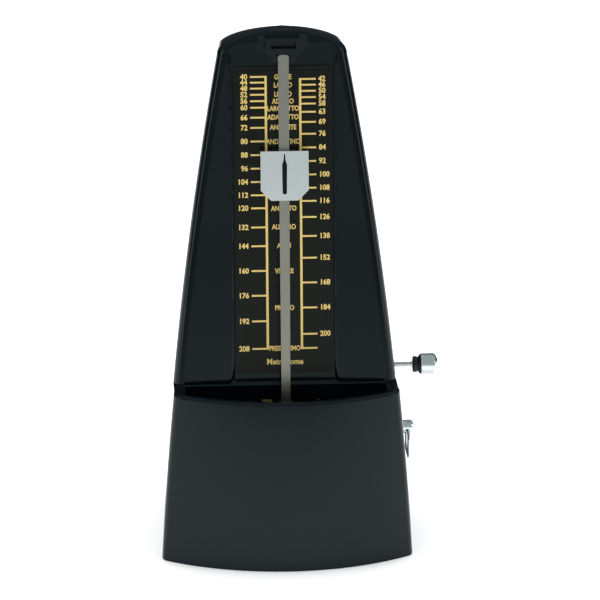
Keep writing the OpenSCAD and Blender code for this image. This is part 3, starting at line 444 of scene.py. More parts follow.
def mesh_from(name: str, points: Sequence[Vector], faces: Sequence[Sequence[int]]) -> bpy.types.Mesh:
    """Makes a mesh with its faces turned outwards.

    Args:
        name: the mesh's name.
        points: places in metres.
        faces: lists of point numbers.

    Returns:
        The mesh.
    """
    mesh = bpy.data.meshes.new(name)
    mesh.from_pydata([tuple(p) for p in points], [], [tuple(f) for f in faces])
    work = bmesh.new()
    work.from_mesh(mesh)
    bmesh.ops.recalc_face_normals(work, faces=work.faces)
    work.to_mesh(mesh)
    work.free()
    return mesh


def loft(name: str, loops: Sequence[Sequence[Vector]]) -> bpy.types.Object:
    """Makes a closed piece through a stack of outlines with the same number of points.

    Args:
        name: the piece's name.
        loops: the outlines, in order.

    Returns:
        The piece.
    """
    count = len(loops[0])
    points = [p for loop in loops for p in loop]
    last = (len(loops) - 1) * count
    faces = [[i + j, i + (j + 1) % count, i + count + (j + 1) % count, i + count + j]
             for i in range(0, last, count) for j in range(count)]
    faces.append(list(range(count)))
    faces.append([last + j for j in range(count)])
    return new_piece(name, mesh_from(name, points, faces))


def settled(piece: bpy.types.Object) -> bpy.types.Object:
    """Applies every modifier of a piece to its mesh.

    Args:
        piece: the piece.

    Returns:
        The piece.
    """
    bpy.context.view_layer.update()
    graph = bpy.context.evaluated_depsgraph_get()
    mesh = bpy.data.meshes.new_from_object(piece.evaluated_get(graph), preserve_all_data_layers=True,
                                           depsgraph=graph)
    piece.modifiers.clear()
    piece.data = mesh
    mesh.name = piece.name
    return piece


def cut(piece: bpy.types.Object, cutters: Iterable[bpy.types.Object],
        operation: str = "DIFFERENCE") -> bpy.types.Object:
    """Cuts closed pieces out of another or joins them to it, and removes them.

    Args:
        piece: what is cut.
        cutters: what is taken away or joined on.
        operation: DIFFERENCE or UNION.

    Returns:
        The piece.
    """
    cutters = list(cutters)
    for cutter in cutters:
        modifier = piece.modifiers.new(cutter.name, "BOOLEAN")
        modifier.object = cutter
        modifier.operation = operation
        modifier.solver = "EXACT"
    settled(piece)
    for cutter in cutters:
        bpy.data.objects.remove(cutter)
    return piece


def smoothed(piece: bpy.types.Object, angle: float = 32.0) -> bpy.types.Object:
    """Shades a piece smooth, with sharp edges above an angle and normals that favour large faces.

    Args:
        piece: the piece.
        angle: the angle in degrees from which an edge is sharp.

    Returns:
        The piece.
    """
    mesh = piece.data
    mesh.shade_smooth()
    mesh.set_sharp_from_angle(angle=math.radians(angle))
    weighted = piece.modifiers.new("weighted", "WEIGHTED_NORMAL")
    weighted.keep_sharp = True
    weighted.weight = 50
    return settled(piece)


def cad_copy(node: str, name: str, width: float, segments: int = 2, sharp: float = 30.0) -> bpy.types.Object:
    """Makes a piece with the shape of a CAD node and fine rounded edges.

    Args:
        node: the CAD node.
        name: the new piece's name.
        width: the width of the edge rounding, in millimetres.
        segments: steps across the rounding.
        sharp: the angle in degrees from which an edge is rounded.

    Returns:
        The piece.
    """
    work = bmesh.new()
    work.from_mesh(frame["nodes"][node].data)
    bmesh.ops.remove_doubles(work, verts=work.verts, dist=SAME_POINT)
    bmesh.ops.dissolve_limit(work, angle_limit=math.radians(FLAT_ANGLE), verts=work.verts, edges=work.edges)
    mesh = bpy.data.meshes.new(name)
    work.to_mesh(mesh)
    work.free()
    piece = new_piece(name, mesh)
    bevel = piece.modifiers.new("edges", "BEVEL")
    bevel.width = width * MM
    bevel.segments = segments
    bevel.limit_method = "ANGLE"
    bevel.angle_limit = math.radians(sharp)
    bevel.use_clamp_overlap = True
    settled(piece)
    return smoothed(piece, 40.0)


def lathe(name: str, profile: Sequence[Point2], start: Vector, axis: Vector,
          steps: int = 96) -> bpy.types.Object:
    """Turns a profile of (distance along the axis, radius) into a closed round piece.

    Args:
        name: the piece's name.
        profile: points in millimetres, whose first and last radius may be nought.
        start: the axis's first point, in metres.
        axis: the axis's direction.
        steps: faces around.

    Returns:
        The piece.
    """
    axis = axis.normalized()
    across = axis.orthogonal().normalized()
    other = axis.cross(across)
    points: list[Vector] = []
    rings: list[list[int]] = []
    for along, radius in profile:
        centre = start + axis * along * MM
        if radius < AXIS_RADIUS:
            rings.append([len(points)])
            points.append(centre)
            continue
        rings.append(list(range(len(points), len(points) + steps)))
        points += [centre + (across * math.cos(a) + other * math.sin(a)) * radius * MM
                   for a in (math.tau * k / steps for k in range(steps))]
    faces: list[list[int]] = []
    pairs = list(zip(rings, rings[1:]))
    if len(rings[0]) > 1 and len(rings[-1]) > 1:
        pairs.append((rings[-1], rings[0]))
    for low, high in pairs:
        for k in range(steps):
            n = (k + 1) % steps
            if len(low) == 1 and len(high) == 1:
                continue
            if len(low) == 1:
                faces.append([low[0], high[k], high[n]])
            elif len(high) == 1:
                faces.append([low[k], low[n], high[0]])
            else:
                faces.append([low[k], low[n], high[n], high[k]])
    return smoothed(new_piece(name, mesh_from(name, points, faces)))


def rounded(profile: Sequence[Point2], radius: float, steps: int = 5) -> list[Point2]:
    """Rounds the inner corners of a profile.

    Args:
        profile: the corner points.
        radius: the rounding's radius, limited by the neighbouring lengths.
        steps: points in each rounding.

    Returns:
        The rounded profile.
    """
    out: list[Point2] = [profile[0]]
    for before, here, after in zip(profile, profile[1:], profile[2:]):
        a = Vector(before) - Vector(here)
        b = Vector(after) - Vector(here)
        reach = min(radius, a.length * 0.45, b.length * 0.45)
        first = Vector(here) + a.normalized() * reach
        last = Vector(here) + b.normalized() * reach
        for k in range(steps + 1):
            t = k / steps
            p = first * (1 - t) ** 2 + Vector(here) * 2 * t * (1 - t) + last * t ** 2
            out.append((p.x, p.y))
    out.append(profile[-1])
    return out


def cylinder_along_x(name: str, x0: float, x1: float, y: float, z: float, radius: float) -> bpy.types.Object:
    """Makes a closed cylinder that runs along X, with sizes in millimetres."""
    profile = [(0.0, 0.0), (0.0, radius), (x1 - x0, radius), (x1 - x0, 0.0)]
    return lathe(name, profile, Vector((x0, y, z)) * MM, Vector((1, 0, 0)), SMALL_HOLE_STEPS)


def joint(name: str) -> dict:
    """Returns the record's joint of that name."""
    return next(j for j in frame["joints"] if j["name"] == name)


def assign(piece: bpy.types.Object, body: str, nodes: Sequence[str] = ()) -> bpy.types.Object:
    """Ties a new piece to its body and the CAD nodes that it stands for.

    Args:
        piece: the new piece.
        body: the CAD body that it rides on.
        nodes: the CAD nodes that it replaces.

    Returns:
        The piece.
    """
    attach(piece, body)
    if nodes:
        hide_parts(*nodes)
    log.info("%s rides on %s", piece.name, body)
    return piece


# ---------------------------------------------------------------- the case

@dataclass
class Case:
    """The moulded housing: a bowed base with a shelf, and a tower with a flat panel and a domed roof."""

    finisher: Finisher
    height: float = 217.0
    base_w: float = 104.0
    base_d: float = 108.0
    lip_z: float = 70.6
    side_lean: float = 3.02
    side_curve: float = 1540.0
    front_lean: float = 4.3
    front_curve: float = 1190.0
    back_lean: float = 2.86
    back_curve: float = 1110.0
    side_taper: float = 5.0
    bow_r: float = 88.0
    front_edge_r: float = 4.4
    back_edge_r: float = 6.5
    wall: float = 2.4
    seam: float = 0.45
    roof_h: float = 11.0
    roof_squareness: float = 5.0
    roof_fall: float = 2.4
    roof_rounding: float = 0.6
    plan_gap: float = 0.2
    skirt_t: float = 1.6
    skirt_h: float = 4.2
    apex_back: float = 9.0
    shelf_d: float = 26.6
    panel_lean: float = 7.0
    lip_rim: float = 3.0
    slot_w: float = 83.0
    ledge: float = 1.2
    channel_w: float = 41.3
    channel_t: float = 0.6
    channel_l: float = 138.0
    notch: float = 1.8
    notch_h: float = 3.6
    lip_round: float = 1.1
    side_round: float = 0.3
    foot_round: float = 0.6
    corner_steps: int = 12
    front_steps: int = 40
    foot_steps: int = 5
    lip_steps: int = 7
    base_levels: int = 26
    tower_levels: int = 44
    hollow_levels: int = 8
    slot_steps: int = 40
    roof_angles: tuple[int, ...] = (*range(0, 75, 5), 74, 78, 81, 84, 86, 88)
    back_corner_most: float = 0.95
    hollow_roof_wall: float = 3.0
    hollow_roof_up: float = 2.0
    slot_round: float = 0.35
    flare: float = 0.22
    hole_from: float = 36.0
    hole_to: float = 60.0
    key_hole_r: float = 3.4
    pull_hole_r: float = 1.25

    @property
    def roof_z(self) -> float:
        """Height at which the roof begins."""
        return self.height - self.roof_h

    def half_w(self, z: float) -> float:
        """Half width at the front corners."""
        return self.base_w / 2 - math.tan(math.radians(self.side_lean)) * z - z * z / (2 * self.side_curve)

    def front_y(self, z: float) -> float:
        """Depth of the base's front on the centre line."""
        return -self.base_d / 2 + math.tan(math.radians(self.front_lean)) * z + z * z / (2 * self.front_curve)

    def back_y(self, z: float) -> float:
        """Depth of the back."""
        return self.base_d / 2 - math.tan(math.radians(self.back_lean)) * z - z * z / (2 * self.back_curve)

    def panel_y(self, z: float) -> float:
        """Depth of the front panel."""
        lean = math.tan(math.radians(self.panel_lean))
        return self.front_y(self.lip_z) + self.shelf_d + (z - self.lip_z) * lean

    def plan(self, hw: float, yf: float, yb: float, bow: float, rf: float, rb: float,
             taper: float) -> list[Point2]:
        """Returns a plan outline: bowed or flat front, and four rounded corners.

        Args:
            hw: half width at the front corners.
            yf: depth of the front.
            yb: depth of the back.
            bow: radius of the bowed front, or nought for a flat one.
            rf: radius of the front corners.
            rb: radius of the back corners.
            taper: the angle by which the sides close in.

        Returns:
            Points in millimetres, counter-clockwise from the left side.
        """
        turn = math.asin((hw - rf) / (bow - rf)) if bow else 0.0
        yc = yf + bow - math.sqrt((bow - rf) ** 2 - (hw - rf) ** 2) if bow else yf + rf
        phi = math.radians(taper)
        xb = hw - rf + (rf - rb) / math.cos(phi) - (yb - rb - yc) * math.tan(phi)

        def arc(cx: float, cy: float, r: float, a0: float, a1: float) -> list[Point2]:
            """Points on a corner's arc."""
            return [(cx + r * math.cos(a0 + (a1 - a0) * k / self.corner_steps),
                     cy + r * math.sin(a0 + (a1 - a0) * k / self.corner_steps))
                    for k in range(self.corner_steps + 1)]

        front: list[Point2] = []
        for k in range(1, self.front_steps):
            share = 2 * k / self.front_steps - 1
            if bow:
                front.append((bow * math.sin(share * turn), yf + bow - bow * math.cos(share * turn)))
            else:
                front.append((share * (hw - rf), yf))
        return (arc(-(hw - rf), yc, rf, math.pi - phi, 1.5 * math.pi - turn) + front
                + arc(hw - rf, yc, rf, 1.5 * math.pi + turn, math.tau + phi)
                + arc(xb, yb - rb, rb, phi, math.pi / 2)
                + arc(-xb, yb - rb, rb, math.pi / 2, math.pi - phi))

    def frontness(self) -> list[float]:
        """Returns, for each point of a plan, 1 on the front and 0 on the sides and back."""
        rise = [k / self.corner_steps for k in range(self.corner_steps + 1)]
        return (rise + [1.0] * (self.front_steps - 1) + rise[::-1] + [0.0] * (2 * self.corner_steps + 2))

    def base_plan(self, z: float, inset: float = 0.0) -> list[Point2]:
        """Returns the base's plan at a height, moved inwards."""
        return self.plan(self.half_w(z) - inset, self.front_y(z) + inset, self.back_y(z) - inset,
                         self.bow_r - inset, max(self.front_edge_r - inset, 1.0),
                         max(self.back_edge_r - inset, 1.0), self.side_taper)

    def tower_plan(self, z: float, inset: float = 0.0) -> list[Point2]:
        """Returns the tower's plan at a height, moved inwards."""
        return self.plan(self.half_w(z) - self.seam - inset, self.panel_y(z) + inset,
                         self.back_y(z) - self.seam - inset, 0.0, max(self.front_edge_r - inset, 1.0),
                         max(self.back_edge_r - inset, 1.0), self.side_taper)

    def roof_plan(self, angle: float) -> list[Point2]:
        """Returns the roof's plan at one place up its dome.

        Args:
            angle: how far up the dome, from 0 at its foot to 90 degrees at its top.

        Returns:
            Points in millimetres.
        """
        apex = self.panel_y(self.roof_z) + self.apex_back
        a = math.radians(angle)
        rise = math.sin(a)
        shrink = max(math.cos(a), 1e-3)
        front = (1 - rise ** self.roof_squareness) ** (1 / self.roof_squareness)
        half = (self.half_w(self.roof_z) - self.seam) * shrink
        yf = apex - (apex - self.panel_y(self.roof_z + self.roof_h * rise)) * front
        yb = apex + (self.back_y(self.roof_z) - self.seam - apex) * shrink ** self.roof_fall
        front_r = self.front_edge_r * shrink
        room = yb - yf - front_r - self.plan_gap * shrink
        least = self.back_edge_r * shrink
        most = max(least, min(self.back_corner_most * half, room))
        back_r = min(room, least + (most - least) * rise ** self.roof_rounding)
        return self.plan(half, yf, yb, 0.0, front_r, back_r, self.side_taper * shrink)

    @staticmethod
    def raised(points: Sequence[Point2], z: float) -> list[Vector]:
        """Lifts a plan to a height, in metres."""
        return [Vector((x, y, z)) * MM for x, y in points]

    def outside(self) -> bpy.types.Object:
        """Builds the outer skin.

        Returns:
            The skin as a closed piece.
        """
        loops: list[list[Vector]] = []
        for k in range(self.foot_steps + 1):
            a = math.pi / 2 * k / self.foot_steps
            z = self.foot_round * (1 - math.cos(a))
            loops.append(self.raised(self.base_plan(z, 0.5 * self.foot_round * (1 - math.sin(a))), z))
        top = self.lip_z - self.lip_round
        levels = self.base_levels
        heights = [self.foot_round + (top - self.foot_round) * k / levels for k in range(1, levels + 1)]
        loops += [self.raised(self.base_plan(z), z) for z in heights]
        radii = [self.side_round + (self.lip_round - self.side_round) * f for f in self.frontness()]
        for k in range(1, self.lip_steps + 1):
            a = math.pi / 2 * k / self.lip_steps
            loop: list[Vector] = []
            for i, r in enumerate(radii):
                z = self.lip_z - r * (1 - math.sin(a))
                inset = self.base_plan(z, r * (1 - math.cos(a)))[i]
                loop.append(Vector((*inset, z)) * MM)
            loops.append(loop)
        loops.append(self.raised(self.tower_plan(self.lip_z), self.lip_z))
        levels = self.tower_levels
        loops += [self.raised(self.tower_plan(z), z)
                  for z in (self.lip_z + (self.roof_z - self.lip_z) * k / levels for k in range(1, levels))]
        loops += [self.raised(self.roof_plan(a), self.roof_z + self.roof_h * math.sin(math.radians(a)))
                  for a in self.roof_angles]
        return loft("housing_shell", loops)

    def inside(self) -> bpy.types.Object:
        """Builds the hollow.

        Returns:
            The hollow as a closed piece, for cutting.
        """
        shelf = self.lip_z - self.wall
        loops = [self.raised(self.base_plan(max(z, 0.0), self.wall), z) for z in (-1.0, 20.0, 45.0, shelf)]
        loops.append(self.raised(self.tower_plan(shelf, self.wall + 1), shelf))
        steps = self.hollow_levels
        loops += [self.raised(self.tower_plan(z, self.wall), z)
                  for z in (self.lip_z + (self.roof_z - self.lip_z) * k / steps for k in range(1, steps))]
        loops.append(self.raised(self.tower_plan(self.roof_z, self.wall + self.hollow_roof_wall),
                                 self.roof_z + self.hollow_roof_up))
        return loft("hollow", loops)

    def slot_loop(self, z: float, grow: float) -> list[Vector]:
        """Returns the shelf slot's outline at a height.

        Args:
            z: the height.
            grow: how far the outline is moved outwards.

        Returns:
            Points in metres.
        """
        steps = self.slot_steps
        half = self.slot_w / 2 + grow
        front = self.front_y(self.lip_z) + self.bow_r
        reach = self.bow_r - self.lip_rim + grow
        points = [(x, front - math.sqrt(reach ** 2 - x * x))
                  for x in (half * (2 * k / steps - 1) for k in range(steps + 1))]
        back = self.panel_y(self.lip_z) - self.ledge + grow
        points += [(half, back), (-half, back)]
        return self.raised(points, z)

    def panel_cutter(self, name: str, half: float, low: float, high: float,
                     x: float = 0.0) -> bpy.types.Object:
        """Builds a cutter for a shallow recess in the panel, with a flared mouth.

        Args:
            name: the cutter's name.
            half: half its width.
            low: its lower end, along the panel from the shelf.
            high: its upper end.
            x: its middle.

        Returns:
            The cutter.
        """
        loops: list[list[Vector]] = []
        flare = self.flare
        for depth, grow in ((-5.0, flare), (-0.02, flare), (flare, 0.0), (self.channel_t, 0.0)):
            corners = [(x - half - grow, low - grow), (x + half + grow, low - grow),
                       (x + half + grow, high + grow), (x - half - grow, high + grow)]
            loops.append([self.on_panel(px, depth, pz) for px, pz in corners])
        return loft(name, loops)

    def on_panel(self, x: float, depth: float, up: float) -> Vector:
        """Turns a place in the panel's own frame into the shared frame.

        Args:
            x: across, in millimetres.
            depth: behind the panel's face.
            up: along the panel from the shelf.

        Returns:
            The place in metres.
        """
        lean = math.radians(self.panel_lean)
        y = self.panel_y(self.lip_z) + depth * math.cos(lean) + up * math.sin(lean)
        z = self.lip_z - depth * math.sin(lean) + up * math.cos(lean)
        return Vector((x, y, z)) * MM

    def skirt(self) -> bpy.types.Object:
        """Builds the wall that hangs from the shelf behind its slot and hides the clockwork.

        Returns:
            The wall as a closed piece.
        """
        front = self.panel_y(self.lip_z) - self.ledge
        half = self.slot_w / 2
        back = front + self.skirt_t
        corners_at = [(-half, front), (half, front), (half, back), (-half, back)]
        return loft("skirt", [self.raised(corners_at, z)
                              for z in (self.lip_z - self.wall - self.skirt_h, self.lip_z - self.wall / 2)])

    def build(self) -> None:
        """Builds the housing and dresses it."""
        shell = cut(self.outside(), [self.inside()])
        past = 4.0
        r = self.slot_round
        levels = ((self.lip_z - self.wall - past, 0.0), (self.lip_z - r, 0.0), (self.lip_z, r),
                  (self.lip_z + past, r))
        cutters = [loft("slot", [self.slot_loop(z, grow) for z, grow in levels])]
        half = self.channel_w / 2
        cutters.append(self.panel_cutter("channel", half, 1.0, self.channel_l))
        for side in (-1, 1):
            reach = 0.5
            cutters.append(self.panel_cutter(f"notch_{side + 1}", self.notch / 2 + reach,
                                             self.channel_l - self.notch_h, self.channel_l,
                                             side * (half + self.notch / 2 - reach)))
        key_low, key_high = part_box("winding_arbor")
        pull_low, pull_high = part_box("pull_rod")
        key_y, key_z = ((key_low[i] + key_high[i]) / 2 / MM for i in (1, 2))
        pull_y, pull_z = ((pull_low[i] + pull_high[i]) / 2 / MM for i in (1, 2))
        for name, y, z, r in (("key_hole", key_y, key_z, self.key_hole_r),
                              ("pull_hole", pull_y, pull_z, self.pull_hole_r)):
            cutters.append(cylinder_along_x(name, self.hole_from, self.hole_to, y, z, r))
        cut(shell, cutters)
        cut(shell, [self.skirt()], "UNION")
        smoothed(shell, 28.0)
        self.finisher.dress(shell, GLOSS_BLACK)
        assign(shell, "case", ["housing"])


# ---------------------------------------------------------------- the scale

@dataclass
class ScalePanel:
    """The black plate in the panel's channel, with its tempo marks and words."""

    finisher: Finisher
    beat_pull: float = 3.557e6
    beat_inertia: float = 9842.0
    beat_reach: float = 150.3
    line_x: float = 7.07
    line_w: float = 0.95
    tick_end: float = 13.5
    tick_h: float = 0.72
    number_x: float = 14.6
    number_size: float = 3.05
    word_size: float = 2.85
    word_squeeze: float = 0.8
    bold: float = 0.1
    ink: float = 0.025
    number_squeeze: float = 0.95
    left: tuple[int, ...] = (*range(40, 60, 4), *range(60, 72, 6), *range(72, 120, 8), *range(120, 144, 12),
                             *range(144, 209, 16))
    right: tuple[int, ...] = (*range(42, 62, 4), 63, 69, 76, *range(84, 124, 8), 126, 138, 152, 168, 184, 200)
    words: tuple[tuple[float, str], ...] = (
        (40.4, "GRAVE"), (46, "LARGO"), (52, "LENTO"), (56.4, "ADAGIO"), (60.8, "LARGHETTO"),
        (66, "ADAGIETTO"), (72, "ANDANTE"), (80.4, "ANDANTINO"), (92, "MODERATO"), (108, "ALLEGRETTO"),
        (120.4, "ANIMATO"), (132, "ALLEGRO"), (144, "ASSAI"), (160.4, "VIVACE"), (184, "PRESTO"),
        (208, "PRESTISSIMO"))
    legend: str = "Metronome"
    legend_up: float = 18.1
    legend_size: float = 3.3

    def height_at(self, beats: float) -> float:
        """Places a tempo's mark by the pendulum's law.

        Args:
            beats: the tempo, in beats a minute.

        Returns:
            The mark's distance above the pivot, in millimetres.
        """
        n2 = beats * beats
        rest = n2 * self.beat_inertia - self.beat_pull * self.beat_reach
        root = math.sqrt(self.beat_pull ** 2 - 4 * n2 * rest)
        return (root - self.beat_pull) / (2 * n2)

    def face(self) -> Matrix:
        """Works out the frame of the plate's face.

        Returns:
            The frame: x across, y up along the rod from the pivot, z out of the plate.
        """
        swing = joint("pendulum_swing")
        pivot = Vector(swing["pos_m"])
        inwards = Vector(swing["axis"]).normalized()
        up = Vector((1, 0, 0)).cross(inwards)
        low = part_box("scale_plate")[0]
        corner = Vector((0.0, low.y, low.z))
        depth = (corner - pivot).dot(inwards)
        origin = pivot + inwards * depth
        return Matrix(((1.0, up.x, -inwards.x, origin.x), (0.0, up.y, -inwards.y, origin.y),
                       (0.0, up.z, -inwards.z, origin.z), (0.0, 0.0, 0.0, 1.0)))

    def bar(self, x0: float, x1: float, y0: float, y1: float) -> tuple[list[Vector], list[list[int]]]:
        """Makes a thin printed bar in the face's frame.

        Args:
            x0: its left side.
            x1: its right side.
            y0: its lower side.
            y1: its upper side.

        Returns:
            Its points and its faces.
        """
        z = self.ink
        points = [Vector((x, y, h)) for h in (-z, z) for x, y in ((x0, y0), (x1, y0), (x1, y1), (x0, y1))]
        faces = [[3, 2, 1, 0], [4, 5, 6, 7], [0, 1, 5, 4], [1, 2, 6, 5], [2, 3, 7, 6], [3, 0, 4, 7]]
        return points, faces

    def lettering(self, text: str, x: float, y: float, size: float, align: str,
                  squeeze: float) -> bpy.types.Object:
        """Makes lettering as a mesh in the face's frame.

        Args:
            text: the characters.
            x: where its side or middle stands.
            y: its middle height.
            size: the type size in millimetres.
            align: LEFT, CENTER or RIGHT.
            squeeze: the width of the characters against their usual width.

        Returns:
            The lettering.
        """
        curve = bpy.data.curves.new(text, "FONT")
        curve.body = text
        curve.size = size
        curve.align_x = align
        curve.align_y = "CENTER"
        curve.extrude = self.ink
        curve.resolution_u = 3
        curve.offset = self.bold
        letters = new_piece("letters", curve)
        bpy.context.view_layer.update()
        graph = bpy.context.evaluated_depsgraph_get()
        mesh = bpy.data.meshes.new_from_object(letters.evaluated_get(graph))
        bpy.data.objects.remove(letters)
        mesh.transform(Matrix.Translation((x, y, 0.0)) @ Matrix.Diagonal((squeeze, 1.0, 1.0, 1.0)))
        return new_piece("letters", mesh)

    def print_scale(self) -> bpy.types.Object:
        """Builds all the print.

        Returns:
            The print as one thin piece.
        """
        points: list[Vector] = []
        faces: list[list[int]] = []

        def add(x0: float, x1: float, y0: float, y1: float) -> None:
            """Adds a bar to the print.

            Args:
                x0: its left side.
                x1: its right side.
                y0: its lower side.
                y1: its upper side.
            """
            more, sides = self.bar(x0, x1, y0, y1)
            faces.extend([[i + len(points) for i in side] for side in sides])
            points.extend(more)

        half = self.tick_h / 2
        foot = self.height_at(self.left[-1])
        for sign, marks in ((-1, self.left), (1, (*self.right, self.left[-1]))):
            top = self.height_at(marks[0])
            add(*sorted((sign * (self.line_x - self.line_w / 2), sign * (self.line_x + self.line_w / 2))),
                foot - half, top + half)
            for beats in marks:
                up = self.height_at(beats)
                ends = sorted((sign * (self.line_x + self.line_w / 2), sign * self.tick_end))
                add(*ends, up - half, up + half)
        mesh = mesh_from("scale_print", points, faces)
        parts = [new_piece("scale_print", mesh)]
        for sign, marks, align in ((-1, self.left, "RIGHT"), (1, self.right, "LEFT")):
            x = sign * self.number_x
            parts += [self.lettering(str(beats), x, self.height_at(beats), self.number_size, align,
                                     self.number_squeeze) for beats in marks]
        parts += [self.lettering(word, 0.0, self.height_at(beats), self.word_size, "CENTER",
                                 self.word_squeeze) for beats, word in self.words]
        parts.append(self.lettering(self.legend, 0.0, self.legend_up, self.legend_size, "CENTER",
                                    self.number_squeeze))
        joined = parts[0]
        work = bmesh.new()
        for part in parts:
            work.from_mesh(part.data)
        work.to_mesh(joined.data)
        work.free()
        for part in parts[1:]:
            bpy.data.objects.remove(part)
        joined.data.transform(self.face() @ Matrix.Scale(MM, 4))
        return joined

    def build(self) -> None:
        """Builds the plate and its print, and dresses both."""
        plate = cad_copy("scale_plate", "scale_panel", 0.12)
        self.finisher.dress(plate, SCALE_BLACK)
        assign(plate, "case", ["scale_plate"])
        marks = self.print_scale()
        self.finisher.dress(marks, GOLD_INK)
        assign(marks, "case")


# ---------------------------------------------------------------- the moving pieces that show

@dataclass
class Pendulum:
    """The steel strip with its sliding weight."""

    finisher: Finisher
    rod_edge: float = 0.12
    weight_edge: float = 0.3
    weight_h: float = 20.6
    weight_t: float = 6.8
    sight_w: float = 2.0
    recess: float = 0.45
    rod_room: float = 0.7
    sight_tip: float = 0.25
    sight_neck: float = 0.4
    sight_foot: float = 3.5
    sight_below: float = 1.1
    foot_share: float = 0.43
    foot_steps: int = 12

    def build(self) -> None:
        """Builds the rod and the weight with fine edges, and dresses both."""
        rod = cad_copy("pendulum_rod", "rod_strip", self.rod_edge)
        self.finisher.dress(rod, ROD_STEEL)
        assign(rod, "pendulum", ["pendulum_rod"])
        weight = cad_copy("sliding_weight", "tempo_slider", self.weight_edge, 3)
        self.finisher.dress(weight, CHROME)
        assign(weight, "tempo_weight", ["sliding_weight"])
        # a black gloss fill sits in the weight's sight slot, so that the slot reads black
        black_fill = self.sight_enamel()
        self.finisher.dress(black_fill, SIGHT_FILL_BLACK)
        assign(black_fill, "tempo_weight")

    def sight_enamel(self) -> bpy.types.Object:
        """Builds the black gloss fill in the weight's sight slot, a little below its face.

        Returns:
            The fill.
        """
        swing = joint("pendulum_swing")
        inwards = Vector(swing["axis"]).normalized()
        up = Vector((1, 0, 0)).cross(inwards)
        pivot = Vector(swing["pos_m"])
        low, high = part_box("sliding_weight")
        corners_up = [(Vector((0, y, z)) - pivot).dot(up) for y in (low.y, high.y) for z in (low.z, high.z)]
        foot = (min(corners_up) + max(corners_up)) / 2 / MM - self.weight_h / 2
        r = self.sight_w * self.foot_share
        top = self.weight_h - self.sight_below
        half: list[Point2] = [(self.sight_tip, top), (self.sight_neck, top - 2.5),
                              (self.sight_w / 2, top - 4.6), (r, self.sight_foot)]
        arc = [(r * math.cos(a), self.sight_foot - r * math.sin(a))
               for a in (math.pi * k / self.foot_steps for k in range(1, self.foot_steps))]
        outline = half + arc + [(-x, y) for x, y in reversed(half)]
        depths = (-self.weight_t / 2 + self.recess, -self.rod_room)
        loops = [[pivot + (Vector((x, 0, 0)) + up * (foot + y) + inwards * depth) * MM for x, y in outline]
                 for depth in depths]
        return loft("sight_enamel", loops)


@dataclass
class Catch:
    """The black catch that holds the rod's tip."""

    finisher: Finisher
    edge: float = 0.22

    def build(self) -> None:
        """Builds the catch with rounded edges and dresses it."""
        catch = cad_copy("rod_catch", "tip_catch", self.edge, 3)
        self.finisher.dress(catch, SATIN_BLACK)
        assign(catch, "case", ["rod_catch"])


@dataclass
class BellPull:
    """The knob and the rubber ring on the end of the pull rod."""

    finisher: Finisher
    pull_r: float = 1.05
    steps: int = 128
    knob_round: float = 0.45
    ring_round: float = 0.6

    def build(self) -> None:
        """Turns the knob and the ring, and dresses them."""
        axis = Vector((1, 0, 0))
        low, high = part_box("pull_knob")
        start = Vector((low.x, (low.y + high.y) / 2, (low.z + high.z) / 2))
        r = (high.z - low.z) / 2 / MM
        length = (high.x - low.x) / MM
        profile = rounded([(0.0, 0.0), (0.0, r - 1.3), (0.7, r - 0.5), (1.3, r), (length - 1.6, r),
                           (length - 0.9, r - 0.45), (length, r - 1.8), (length, 0.0)], self.knob_round)
        knob = lathe("bell_knob", profile, start, axis, self.steps)
        self.finisher.dress(knob, CHROME)
        assign(knob, "bell_pull", ["pull_knob"])
        low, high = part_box("stop_ring")
        r = (high.z - low.z) / 2 / MM
        width = (high.x - low.x) / MM
        start = Vector((low.x, (low.y + high.y) / 2, (low.z + high.z) / 2))
        section = [(0.0, self.pull_r), (0.0, r), (width, r), (width, self.pull_r)]
        ring = lathe("rubber_stop", rounded(section, self.ring_round), start, axis, self.steps)
        self.finisher.dress(ring, RING_RUBBER)
        assign(ring, "bell_pull", ["stop_ring"])


@dataclass
class WindingKey:
    """The key's hub and its wire loop."""

    finisher: Finisher
    edge: float = 0.15

    def build(self) -> None:
        """Builds the hub, and dresses it and the loop."""
        hub = cad_copy("key_hub", "key_barrel", self.edge, 3)
        self.finisher.dress(hub, CHROME)
        assign(hub, "winding", ["key_hub"])
        self.finisher.dress(frame["nodes"]["key_ring"], CHROME)


@dataclass
class Movement:
    """The clockwork, bell and frame inside, and the base underneath."""

    finisher: Finisher
    finishes: dict[str, Finish] = field(default_factory=lambda: {
        "case_plastic": GLOSS_BLACK, "base_plastic": MATT_BLACK, "catch_plastic": SATIN_BLACK,
        "scale_black": SCALE_BLACK, "foot_rubber": RUBBER, "ring_rubber": RING_RUBBER, "brass": BRASS,
        "bright_steel": BRIGHT_STEEL, "spring_steel": SPRING_STEEL, "rod_steel": ROD_STEEL,
        "bell_steel": NICKEL, "lead_grey": LEAD_GREY, "chrome": CHROME})

    def build(self) -> None:
        """Dresses every CAD node by its material slot."""
        for entry in frame["record"]["subparts"]:
            node = frame["nodes"][entry["node"]]
            self.finisher.dress(node, self.finishes[entry["material_slot"]])


# ---------------------------------------------------------------- the studio

